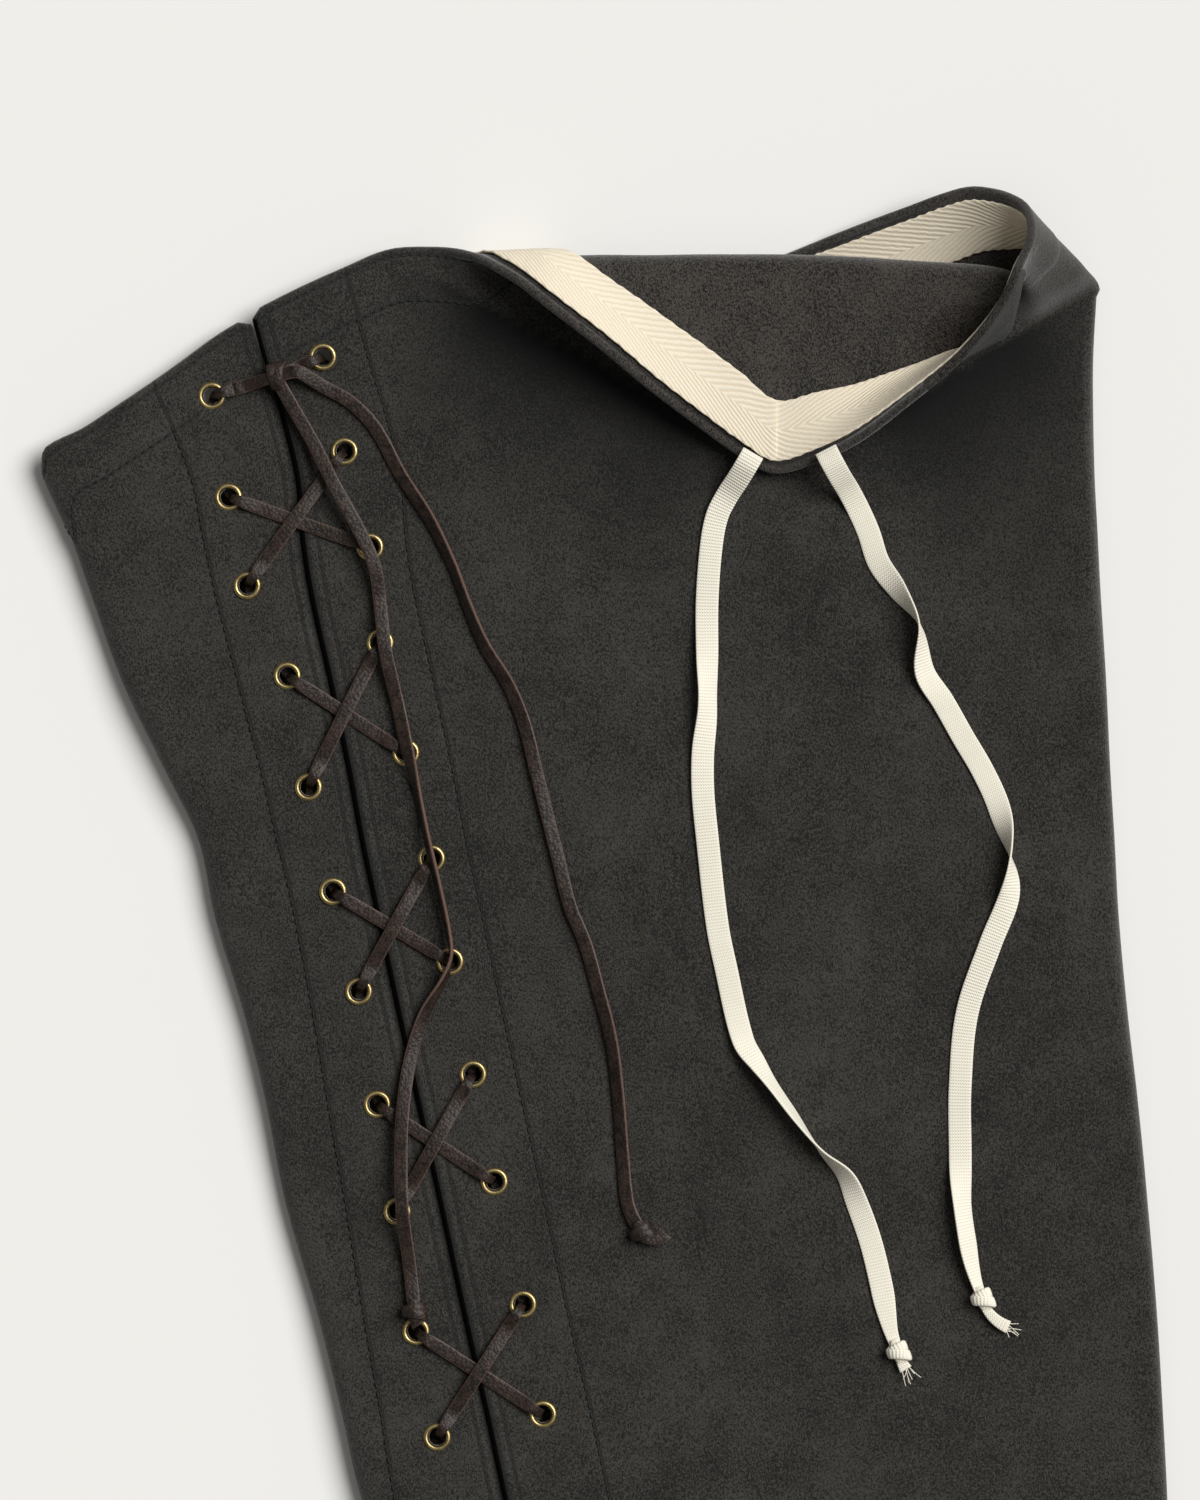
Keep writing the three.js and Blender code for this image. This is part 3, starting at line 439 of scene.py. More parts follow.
leather.finish(
    leather_colour, suede * (1.2 - on_grain) - pebble * on_grain * 0.55, LEATHER_RELIEF,
    0.85 - on_grain * 0.40)

# Tie cotton: plain weave, off-white, a little slubbed.
COTTON_DARK = (0.80, 0.74, 0.60, 1)
COTTON_LIGHT = (0.92, 0.88, 0.76, 1)
WEFT_PITCH = 0.0011
WARP_PITCH = 0.0009
SLUB_SIZE = 0.004
WEAVE_RELIEF = 0.00025
COTTON = {"Roughness": 0.85, "Sheen Weight": 0.1, "Specular IOR Level": 0.2}
tie_cotton = Finish("tie", COTTON)
weft = (tie_cotton.mark("along") * (math.tau / WEFT_PITCH)).sine()
warp = (tie_cotton.mark("across") * (math.tau / WARP_PITCH)).sine()
weave = weft * 0.3 + weft * warp * 0.2 + 0.5
slub = tie_cotton.noise(SLUB_SIZE)
tie_colour = tie_cotton.blend(weave * 0.6 + slub * 0.4, COTTON_DARK, COTTON_LIGHT)
tie_cotton.finish(tie_colour, weave, WEAVE_RELIEF)

# Columns: width, thickness, how square the section is, finish, slot.
CORDS = {
    "lace": (LACE_WIDTH, LACE_THICK, LACE_CORNER, leather, "leather"),
    "tie": (TIE_WIDTH, TIE_THICK, TIE_CORNER, tie_cotton, "tie"),
}
cords = {name: free_cord(name) for name in ROUTES}


# Knots. Each is pulled tight: the cord goes through the middle, and two turns of it are
# wound over itself. The waist knot joins both halves of the lace, and the others stop the
# cords' ends, with a short tail past each, which is frayed on the ties.
# Columns: core's width and thickness, winding's width and thickness, its reach across and
# up, how many whole turns it makes, how far it slips along and how much each turn leans.
KNOT_SIZES = {
    "waist": (0.0044, 0.0030, 0.0034, 0.0014, 0.0042, 0.0020, 2, 0.0036, 0.0016),
    "lace": (0.0046, 0.0026, 0.0034, 0.0015, 0.0036, 0.0022, 2, 0.0030, 0.0014),
    "tie": (0.0044, 0.0026, 0.0038, 0.0017, 0.0031, 0.0021, 2, 0.0036, 0.0018),
}
CORE_REACH = 0.0040
CORE_TAPER = 0.35
CORE_CORNER = 3
WINDING_CORNER = 2.6
WINDING_SPREAD = 0.1
CORD_SINK = 0.0004
TAIL_START = 0.002
TAIL_DROP = 0.08
TAIL_WIDTH = 0.7
TAIL_FLARE = 0.35
TAIL_THICK = 0.5
TAIL_CORNER = 4
TURN_SIDES = 14
WINDING_POINTS = 70
CORE_POINTS = 24
TAIL_POINTS = 16
FRAYED_THREADS = 7
FRAYED_POINTS = 9
FRAYED_THICK = 0.0003
FRAYED_REACH = 0.0018
FRAYED_LEAN = 1.6
# How far the threads fan out and curl, in degrees and degrees a metre, and their steps.
FRAYED_FAN = 50
FRAYED_CURL = 3640
FRAYED_STEP = (0.00035, 0.00065)
FRAYED_CLIMB = (-0.2, 0.15)


def knot_frame(middle, degrees):
    """Places about a knot from how far along, across and up they are."""
    way = np.array([math.cos(math.radians(degrees)), math.sin(math.radians(degrees)), 0])
    side = np.array([-way[1], way[0], 0])
    up = np.array([0, 0, 1])
    return lambda along, across, high: (
        middle + np.multiply.outer(along, way) + np.multiply.outer(across, side)
        + np.multiply.outer(high, up)), way


def frayed_threads(name, tail_line, degrees):
    """Short curled threads at the cut end of a tail."""
    rng = random.Random(name)
    threads = []
    for k in range(FRAYED_THREADS):
        aside = level_sides(tail_line)[-1] * rng.uniform(-1, 1) * FRAYED_REACH
        heading = math.radians(degrees + rng.uniform(-FRAYED_FAN, FRAYED_FAN))
        curl = math.radians(rng.uniform(-FRAYED_CURL, FRAYED_CURL))
        step = rng.uniform(*FRAYED_STEP)
        points = [tail_line[-2] + aside]
        for _ in range(FRAYED_POINTS):
            heading += curl * step
            points.append(points[-1] + step * np.array(
                [math.cos(heading), math.sin(heading), rng.uniform(*FRAYED_CLIMB)]))
        points = np.array(points)
        threads.append(band(
            f"{name}_thread_{k}", points, level_sides(points), FRAYED_THICK, FRAYED_THICK, 2, 6))
    return threads


def tight_knot(name, middle, degrees, tail, tail_turn):
    kind = "waist" if name == "lace_knot" else name.split("_")[0]
    core_width, core_thick, width, thick, across, up, turns, slip, lean = KNOT_SIZES[kind]
    middle = np.asarray(middle, float)
    middle[2] += lay(middle[0], middle[1])
    place, way = knot_frame(middle, degrees)
    shares = np.linspace(-1, 1, WINDING_POINTS)
    t = math.pi * (shares * turns + turns - 1)
    reach = 1 + WINDING_SPREAD * shares
    along = shares * slip / 2 + lean * shares * np.sin(t)
    winding = place(along, across * reach * np.sin(t), up * reach * np.cos(t))
    core_at = np.linspace(-1, 1, CORE_POINTS)
    bulge = 1 - CORE_TAPER * np.abs(core_at) ** 2
    core_line = place(core_at * CORE_REACH, 0 * core_at, -CORD_SINK * np.abs(core_at))
    pieces = [
        band("tied_" + name, core_line, level_sides(core_line), core_width * bulge,
             core_thick, CORE_CORNER),
        band(name + "_turn", winding, np.broadcast_to(way, winding.shape), width, thick,
             WINDING_CORNER, TURN_SIDES),
    ]
    if tail:
        tail_at = np.linspace(0, 1, TAIL_POINTS)
        bend = np.radians(tail_turn) * tail_at
        run = TAIL_START + (tail + TAIL_START) * tail_at
        tail_line = place(run * np.cos(bend), run * np.sin(bend), -CORD_SINK - run * TAIL_DROP)
        pieces.append(band(
            name + "_tail", tail_line, level_sides(tail_line),
            core_width * (TAIL_WIDTH + TAIL_FLARE * tail_at), core_thick * TAIL_THICK,
            TAIL_CORNER, TURN_SIDES))
        if kind == "tie":
            pieces += frayed_threads(name, tail_line, degrees + FRAYED_LEAN * tail_turn)
    bpy.ops.object.select_all(action="DESELECT")
    for piece in pieces:
        piece.select_set(True)
    bpy.context.view_layer.objects.active = pieces[0]
    bpy.ops.object.join()
    piece = bpy.context.object
    bpy.ops.object.select_all(action="DESELECT")
    set_on(piece, *CORDS[name.split("_")[0]][3:], name)
    return piece


knots = {row[0]: tight_knot(*row) for row in KNOTS}
for name, (piece, line) in cords.items():
    knots[name + "_knot"]


# The leg. One cut of fulled wool goes all round from one lip of the slit to the other:
# front, right fold, back, left fold and the strip beside the slit. Its point is turned
# down over the front, and its right side stands open as a short funnel.
WOOL = 0.002
FOLD_RADIUS = 0.004
BACK_Z = WOOL / 2
FRONT_Z = BACK_Z + 2 * FOLD_RADIUS
HEM_Y = -0.467
TURN_LENGTH = 0.020
SLIT_FOOT_Y = -0.014
SEAM_GAP = 0.0003
SLIT_GAP = 0.0008
SLIT_TOP_GAP = 0.0018
SLIT_SPREAD_Y = 0.385
SLIT_TOP_Y = 0.419
# Columns: y, left side, slit's right lip, right side.
SECTIONS = np.array([
    (-0.467, 0.040, 0.0655, 0.2045), (-0.415, 0.0315, 0.057, 0.204),
    (-0.360, 0.0185, 0.0445, 0.204), (-0.310, 0.0035, 0.0305, 0.2035),
    (-0.205, -0.024, 0.0075, 0.200), (-0.100, -0.054, -0.015, 0.1965),
    (0.005, -0.090, -0.0395, 0.1925), (0.035, -0.097, -0.046, 0.191),
    (0.068, -0.105, -0.0535, 0.189), (0.110, -0.117, -0.0625, 0.1855),
    (0.146, -0.124, -0.0705, 0.182), (0.176, -0.1315, -0.077, 0.1785),
    (0.209, -0.1415, -0.084, 0.1755), (0.237, -0.1475, -0.090, 0.174),
    (0.261, -0.159, -0.0945, 0.1725), (0.292, -0.174, -0.101, 0.171),
    (0.324, -0.1855, -0.108, 0.169), (0.344, -0.1925, -0.111, 0.168),
    (0.363, -0.201, -0.1125, 0.167), (0.384, -0.208, -0.1175, 0.1665),
    (0.405, -0.215, -0.124, 0.1665), (0.431, -0.224, -0.131, 0.168),
])
# Where the waist edge lies flat. Columns: x, y, and for the corner: angle, y.
FRONT_EDGE = [
    (-0.127, 0.4215), (-0.1115, 0.4295), (-0.096, 0.4365), (-0.080, 0.443),
]
BACK_EDGE = [
    (0.067, 0.4450), (0.0325, 0.4312), (-0.0065, 0.4215), (-0.060, 0.407), (-0.120, 0.390),
    (-0.160, 0.3795), (-0.190, 0.371),
]
STRIP_EDGE = [
    (-0.187, 0.3805), (-0.176, 0.3878), (-0.163, 0.3966), (-0.152, 0.4045),
    (-0.1415, 0.4122), (-0.1315, 0.419),
]
CORNER_EDGE = [(-90, 0.368), (-135, 0.367), (180, 0.366), (135, 0.369), (90, 0.374)]


def straight(x, *places):
    """A station's turn where it runs straight along the leg: y and z of each point."""
    return [(x, y, z) for y, z in places]


# Where it turns: the points base, under, roll, over, lie and edge of each station's line.
FRONT_TURN = [
    straight(-0.0625, (0.424, 0.009), (0.429, 0.0092), (0.4335, 0.0097),
             (0.4375, 0.0104), (0.4408, 0.0112), (0.4435, 0.012)),
    straight(-0.055, (0.422, 0.009), (0.428, 0.0095), (0.4335, 0.0108),
             (0.4375, 0.0126), (0.4402, 0.0148), (0.442, 0.017)),
    straight(-0.048, (0.421, 0.0092), (0.4285, 0.01), (0.4345, 0.0118),
             (0.438, 0.0146), (0.4396, 0.018), (0.4388, 0.022)),
    straight(-0.042, (0.421, 0.0094), (0.43, 0.0104), (0.4362, 0.0128),
             (0.439, 0.0164), (0.4388, 0.0208), (0.435, 0.026)),
    straight(-0.034, (0.4215, 0.0095), (0.4315, 0.0106), (0.4378, 0.0132),
             (0.4398, 0.017), (0.4376, 0.0222), (0.4298, 0.0295)),
    straight(-0.024, (0.422, 0.0096), (0.433, 0.0108), (0.439, 0.0136),
             (0.44, 0.017), (0.4355, 0.023), (0.4216, 0.032)),
    straight(-0.0065, (0.424, 0.0095), (0.4355, 0.0105), (0.44, 0.0138),
             (0.4376, 0.0176), (0.43, 0.02), (0.4082, 0.0295)),
    straight(0.011, (0.425, 0.0092), (0.4365, 0.01), (0.44, 0.0135),
             (0.4372, 0.0172), (0.421, 0.0178), (0.3938, 0.0235)),
    straight(0.0285, (0.4255, 0.009), (0.437, 0.0098), (0.4403, 0.0133),
             (0.4373, 0.017), (0.4105, 0.0156), (0.3808, 0.0185)),
    straight(0.0425, (0.4255, 0.009), (0.437, 0.0098), (0.4403, 0.0133),
             (0.4373, 0.017), (0.4005, 0.0146), (0.371, 0.0158)),
    straight(0.054, (0.4255, 0.009), (0.437, 0.0098), (0.4403, 0.0133),
             (0.4373, 0.017), (0.392, 0.0138), (0.365, 0.015)),
    straight(0.069, (0.4255, 0.009), (0.4366, 0.0098), (0.44, 0.0135),
             (0.4368, 0.0172), (0.3915, 0.0138), (0.3686, 0.019)),
    straight(0.0835, (0.421, 0.009), (0.4356, 0.0104), (0.4393, 0.0144),
             (0.4356, 0.0182), (0.3935, 0.0134), (0.3756, 0.026)),
    straight(0.1015, (0.412, 0.0086), (0.4332, 0.0112), (0.438, 0.016),
             (0.434, 0.0198), (0.3998, 0.013), (0.3894, 0.032)),
    straight(0.116, (0.406, 0.0082), (0.43, 0.012), (0.437, 0.0174),
             (0.4334, 0.0212), (0.4062, 0.0122), (0.4018, 0.0345)),
    [(0.124, 0.4065, 0.0078), (0.124, 0.4276, 0.012), (0.124, 0.4364, 0.0176),
     (0.124, 0.4328, 0.0214), (0.124, 0.4086, 0.0112), (0.1234, 0.4102, 0.0355)],
    [(0.1305, 0.4094, 0.0074), (0.1305, 0.4274, 0.0122), (0.1305, 0.4356, 0.0176),
     (0.1305, 0.432, 0.0216), (0.1304, 0.411, 0.0108), (0.1296, 0.4184, 0.036)],
    [(0.137, 0.4128, 0.0072), (0.137, 0.4266, 0.0124), (0.1368, 0.434, 0.0178),
     (0.1364, 0.431, 0.0218), (0.1366, 0.415, 0.0112), (0.1346, 0.427, 0.036)],
    [(0.1475, 0.4182, 0.007), (0.1452, 0.424, 0.013), (0.143, 0.429, 0.019),
     (0.141, 0.4326, 0.025), (0.1394, 0.4348, 0.031), (0.138, 0.4346, 0.0366)],
    [(0.157, 0.4232, 0.0066), (0.1532, 0.4286, 0.0128), (0.1494, 0.433, 0.0188),
     (0.1456, 0.4366, 0.025), (0.1424, 0.4392, 0.031), (0.14, 0.4398, 0.0368)],
    [(0.1635, 0.4266, 0.0068), (0.159, 0.4314, 0.0126), (0.1542, 0.4356, 0.0186),
     (0.1494, 0.4392, 0.0248), (0.145, 0.442, 0.031), (0.1416, 0.4434, 0.0366)],
]
FOLD_TURN = [
    (45, [(0.1665, 0.4288, 0.0078), (0.1616, 0.4336, 0.0128), (0.156, 0.438, 0.0186),
          (0.1504, 0.4418, 0.025), (0.1456, 0.4448, 0.0314), (0.1422, 0.4464, 0.0364)]),
    (0, [(0.168, 0.4298, 0.005), (0.163, 0.4354, 0.0104), (0.157, 0.4404, 0.0164),
         (0.151, 0.4446, 0.023), (0.146, 0.4478, 0.0298), (0.1425, 0.4498, 0.035)]),
    (-45, [(0.1665, 0.4306, 0.0022), (0.162, 0.4368, 0.007), (0.1564, 0.4424, 0.013),
           (0.1504, 0.4474, 0.020), (0.1454, 0.4512, 0.027), (0.142, 0.4534, 0.033)]),
    (-90, [(0.163, 0.430, 0.001), (0.159, 0.4368, 0.0044), (0.1536, 0.4434, 0.010),
           (0.148, 0.4492, 0.0168), (0.1436, 0.454, 0.024), (0.1404, 0.4572, 0.0304)]),
]
BACK_TURN = [
    [(0.155, 0.426, 0.001), (0.152, 0.434, 0.003), (0.1478, 0.4416, 0.0076),
     (0.1434, 0.4488, 0.0136), (0.1394, 0.4554, 0.0204), (0.1364, 0.4604, 0.027)],
    [(0.1445, 0.423, 0.001), (0.1424, 0.4316, 0.0024), (0.139, 0.4402, 0.006),
     (0.1356, 0.4484, 0.0112), (0.1326, 0.4562, 0.0172), (0.1304, 0.4628, 0.023)],
    [(0.134, 0.4204, 0.001), (0.1326, 0.4294, 0.0018), (0.1298, 0.4386, 0.0044),
     (0.127, 0.4474, 0.0086), (0.1244, 0.456, 0.0138), (0.1224, 0.464, 0.019)],
    [(0.122, 0.4196, 0.001), (0.121, 0.4284, 0.0014), (0.119, 0.4376, 0.0032),
     (0.117, 0.4466, 0.0066), (0.115, 0.455, 0.011), (0.1134, 0.462, 0.015)],
    [(0.108, 0.4206, 0.001), (0.1074, 0.4288, 0.0012), (0.106, 0.4368, 0.0022),
     (0.1046, 0.4446, 0.0046), (0.1032, 0.452, 0.008), (0.102, 0.458, 0.0112)],
    [(0.094, 0.422, 0.001), (0.0936, 0.4286, 0.0011), (0.0926, 0.4354, 0.0016),
     (0.0916, 0.442, 0.0032), (0.0906, 0.4482, 0.0056), (0.0896, 0.4536, 0.008)],
    [(0.0795, 0.424, 0.001), (0.0792, 0.429, 0.001), (0.0786, 0.4342, 0.0012),
     (0.0778, 0.4394, 0.0019), (0.077, 0.4444, 0.0032), (0.0762, 0.4486, 0.0048)],
]
TIP_STATION = len(FRONT_EDGE) + 10
TAPE_END_STATION = len(FRONT_EDGE) + len(FRONT_TURN) + len(FOLD_TURN) + len(BACK_TURN)


def section_edge(column):
    return lambda y: smooth_through(SECTIONS[:, 0], SECTIONS[:, column], np.atleast_1d(y))


def slit_gap(y):
    spread = smoothstep(SLIT_SPREAD_Y, SLIT_TOP_Y, y)
    return np.where(y < SLIT_FOOT_Y, SEAM_GAP, SLIT_GAP + (SLIT_TOP_GAP - SLIT_GAP) * spread)


left_side, slit_lip, right_side = (section_edge(column) for column in (1, 2, 3))


def left_fold(y):
    return left_side(y) + FOLD_RADIUS + WOOL / 2


def right_fold(y):
    return right_side(y) - FOLD_RADIUS - WOOL / 2


def front_lip(y):
    return slit_lip(y) + WOOL / 2


def strip_lip(y):
    return slit_lip(y) - slit_gap(y) - WOOL / 2


# Rows up each station's line: coarse down the leg, fine in view, finest where it turns.
LEG_ROWS = np.concatenate([np.linspace(0, 0.5, 46)[:-1], np.linspace(0.5, 1, 128)[:-1]])
# Places up the turn, counted in the points of its line: the edge's is the last.
UNDER_STOP, OVER_STOP, EDGE_STOP = 2, 4, 6
TURN_STOPS = np.concatenate([
    np.linspace(1, UNDER_STOP, 6)[:-1], np.linspace(UNDER_STOP, OVER_STOP, 15)[:-1],
    np.linspace(OVER_STOP, EDGE_STOP, 24)])
FLAT_TURN = np.linspace(0, 1, 6)
RAMP_LENGTH = 0.064


def flat_line(left, right, z, base):
    """The lower part of a line that lies flat between two edges, as a function of y."""
    share = (base[0] - left(base[1])) / (right(base[1]) - left(base[1]))
    return lambda y: np.stack([left(y) + (right(y) - left(y)) * share, y, np.full(len(y), z)], 1)


def fold_line(middle, degrees):
    angle = math.radians(degrees)
    z = BACK_Z + FOLD_RADIUS * (1 + math.sin(angle))
    return lambda y: np.stack(
        [middle(y) + FOLD_RADIUS * math.cos(angle), y, np.full(len(y), z)], 1)


def cloth_line(lower, turn=None, edge_y=None):
    """One station's points from the hem to the waist edge, without the rim's half round."""
    if turn is None:
        turn = lower(edge_y - TURN_LENGTH * (1 - FLAT_TURN))
    turn = np.asarray(turn, float)
    base_y = turn[0, 1]
    before = np.array([base_y - TURN_LENGTH / 2])
    leg = lower(np.concatenate([HEM_Y + WOOL / 2 + (base_y - HEM_Y) * LEG_ROWS, before]))
    ramp = np.clip((leg[:, 1] - base_y) / RAMP_LENGTH + 1, 0, 1) ** 2
    leg[:, 2] += (turn[0, 2] - leg[-1, 2]) * ramp
    leg, before = leg[:-1], leg[-1:]
    points = np.concatenate([before, turn])
    knots = lengths_along(points)
    stops = np.interp(TURN_STOPS, np.arange(len(points)), knots)
    past_over = (TURN_STOPS - OVER_STOP) / (EDGE_STOP - OVER_STOP)
    stops -= WOOL / 2 * np.clip(past_over, 0, 1)
    return np.concatenate([leg, smooth_through(knots, points, stops)])


front_flat = [(front_lip(y)[0] if k == 0 else x, y) for k, (x, y) in enumerate(FRONT_EDGE)]
strip_flat = STRIP_EDGE[:-1] + [(strip_lip(SLIT_TOP_Y)[0], SLIT_TOP_Y)]
front_lines = [cloth_line(flat_line(front_lip, right_fold, FRONT_Z, edge), edge_y=edge[1])
               for edge in front_flat]
front_lines += [cloth_line(flat_line(front_lip, right_fold, FRONT_Z, turn[0]), turn)
                for turn in FRONT_TURN]
fold_lines = [cloth_line(fold_line(right_fold, angle), turn) for angle, turn in FOLD_TURN]
back_lines = [cloth_line(flat_line(left_fold, right_fold, BACK_Z, turn[0]), turn)
              for turn in BACK_TURN]
back_lines += [cloth_line(flat_line(left_fold, right_fold, BACK_Z, edge), edge_y=edge[1])
               for edge in BACK_EDGE]
corner_lines = [cloth_line(fold_line(left_fold, angle), edge_y=y) for angle, y in CORNER_EDGE]
strip_lines = [cloth_line(flat_line(left_fold, strip_lip, FRONT_Z, edge), edge_y=edge[1])
               for edge in strip_flat]
stations = np.array(front_lines + fold_lines + back_lines + corner_lines + strip_lines)

# Columns between the stations, each stretch with its own spacing.
station_place = np.concatenate([
    [0], np.cumsum(np.linalg.norm(np.diff(stations, axis=0), axis=2).mean(axis=1))])
fold_start = len(front_lines) - 1
back_start = fold_start + len(fold_lines)
corner_start = back_start + len(back_lines) + 1
strip_start = corner_start + len(corner_lines) - 1
# Columns: first and last station, spacing.
STRETCHES = [
    (0, fold_start, 0.0025), (fold_start, back_start, 0.0012),
    (back_start, TAPE_END_STATION, 0.0024), (TAPE_END_STATION, corner_start, 0.0055),
    (corner_start, strip_start, 0.0013), (strip_start, len(stations) - 1, 0.0021),
]
places = [np.array([0.0])]
for first, last, spacing in STRETCHES:
    low, high = station_place[first], station_place[last]
    places.append(np.linspace(low, high, 1 + math.ceil((high - low) / spacing))[1:])
places = np.concatenate(places)
cloth = smooth_through(station_place, stations, places)
is_front = places <= station_place[fold_start] + 1e-9
is_strip = places >= station_place[strip_start] - 1e-9

# The slit's lips have rounded corners at the waist.
CORNER_ROUND = 0.002
for flat_part, lip_column in ((is_front, 0), (is_strip, -1)):
    edge = cloth[flat_part, -1]
    from_lip = np.linalg.norm((edge - cloth[lip_column, -1])[:, :2], axis=1)
    short = np.clip(CORNER_ROUND - from_lip, 0, CORNER_ROUND)
    inset = CORNER_ROUND - np.sqrt(CORNER_ROUND**2 - short**2)
    turn_rows = cloth[flat_part, len(LEG_ROWS):]
    bases = turn_rows[:, :1]
    cloth[flat_part, len(LEG_ROWS):] = bases + (turn_rows - bases) * (
        1 - inset / TURN_LENGTH)[:, None, None]

# Distances over the cloth: from the waist edge, and from the slit's nearer lip.
steps_down = np.linalg.norm(np.diff(cloth[:, ::-1], axis=1), axis=2)
from_edge = np.concatenate([np.zeros((len(cloth), 1)), np.cumsum(steps_down, axis=1)], axis=1)
edge_ways = unit(np.gradient(cloth[:, -1], axis=0))
cloth_ways = unit(cloth[:, -4] - cloth[:, -1])
slant = np.linalg.norm(np.cross(edge_ways, cloth_ways), axis=1)
SLANT_BLUR = 5
LEAST_SLANT = 0.6
slant = np.pad(slant, SLANT_BLUR // 2, mode="edge")
slant = np.convolve(slant, np.full(SLANT_BLUR, 1 / SLANT_BLUR), mode="valid")
waist = (WOOL / 2 + from_edge[:, ::-1]) * np.maximum(slant, LEAST_SLANT)[:, None]
x, y = cloth[..., 0], cloth[..., 1]
LIP_SLANT = 0.96
right_of_slit = (x - slit_lip(y.ravel()).reshape(y.shape)) * LIP_SLANT
FAR_AWAY = 1.0
lip = np.full(y.shape, FAR_AWAY)
lip[is_front] = right_of_slit[is_front]
lip[is_strip] = -right_of_slit[is_strip]

# Placket: the wool is doubled beside the slit. Columns: y, width left of the slit.
PLACKET_RIGHT = 0.0365 * LIP_SLANT
PLACKET_LEFT = [
    (0.0055, 0.0387), (0.132, 0.032), (0.216, 0.029), (0.290, 0.032), (0.344, 0.0345),
    (0.392, 0.0415),
]
left_widths = smooth_through(*zip(*PLACKET_LEFT), np.clip(
    y.ravel(), PLACKET_LEFT[0][0], PLACKET_LEFT[-1][0]))
placket = np.full(y.shape, -FAR_AWAY)
placket[is_front] = PLACKET_RIGHT - lip[is_front]
placket[is_strip] = (left_widths.reshape(y.shape) * LIP_SLANT - lip)[is_strip]

# Casing: the waist is turned in and stitched down all round.
CASING = 0.0185
DOUBLED = 0.0005
DOUBLED_RAMP = (-0.0015, 0.0025)
PLACKET_RAMP = 0.02
doubled = np.maximum(
    smoothstep(*DOUBLED_RAMP, placket) * smoothstep(SLIT_FOOT_Y - PLACKET_RAMP, SLIT_FOOT_Y, y),
    smoothstep(*DOUBLED_RAMP, CASING - waist))

# Eyelets' places, left and right row, from the waist down.
EYELETS = {
    "left": [
        (-0.1425, 0.392), (-0.1365, 0.3565), (-0.130, 0.3255), (-0.116, 0.294),
        (-0.1085, 0.255), (-0.100, 0.2185), (-0.091, 0.1835), (-0.0845, 0.144),
        (-0.0775, 0.1065), (-0.071, 0.0645), (-0.0635, 0.0275),
    ],
    "right": [
        (-0.1035, 0.4055), (-0.096, 0.3725), (-0.087, 0.339), (-0.0835, 0.3055),
        (-0.0745, 0.267), (-0.0655, 0.230), (-0.059, 0.194), (-0.051, 0.1545),
        (-0.0435, 0.117), (-0.0335, 0.074), (-0.0265, 0.0355),
    ],
}
EYELET_CUT = 0.0044
DIMPLE_DEPTH = 0.0005
DIMPLE_REACH = 0.006
# The strip's lip lies under the front's: how far it sinks, over what width, and from where.
LIP_SINK = 0.0012
LIP_REACH = 0.004
LIP_RAMP = 0.01
FADE_LENGTH = 0.012

# The layer's creases, faded out where it turns over, and its give round eyelets and lips.
upper = np.clip((cloth[..., 2] - BACK_Z) / (FRONT_Z - BACK_Z), 0, 1)
in_turn = np.arange(cloth.shape[1]) >= len(LEG_ROWS)
flat_above = is_strip | (places <= station_place[len(FRONT_EDGE) - 1])
turn_length = from_edge[:, len(cloth[0]) - 1 - len(LEG_ROWS)][:, None]
from_base = np.where(in_turn, turn_length - from_edge[:, ::-1], 0)
fade = np.where(flat_above[:, None], 1, 1 - smoothstep(0, FADE_LENGTH, from_base))
lip_sinks = np.where(is_front, -LIP_SINK * 0.5, LIP_SINK)[:, None]
sink = lip_sinks * np.exp(-((lip / LIP_REACH) ** 2))
sink = sink * smoothstep(SLIT_FOOT_Y - LIP_RAMP, SLIT_FOOT_Y, y)
for row in EYELETS.values():
    for eyelet_x, eyelet_y in row:
        near = ((x - eyelet_x) ** 2 + (y - eyelet_y) ** 2) / DIMPLE_REACH**2
        sink += DIMPLE_DEPTH * np.exp(-near) * upper
cloth[..., 2] += (lay(x, y) * upper - sink) * fade


def sheet_normals(points):
    along = np.gradient(points, axis=1)
    across = np.gradient(points, axis=0)
    return unit(np.cross(across, along))


cloth_normals = sheet_normals(cloth)


def grid_faces(columns, rows):
    at = np.arange(columns * rows).reshape(columns, rows)
    return np.stack([at[:-1, :-1], at[1:, :-1], at[1:, 1:], at[:-1, 1:]], axis=-1).reshape(-1, 4)


RIM_ANGLES = np.radians([45, 90, 135])


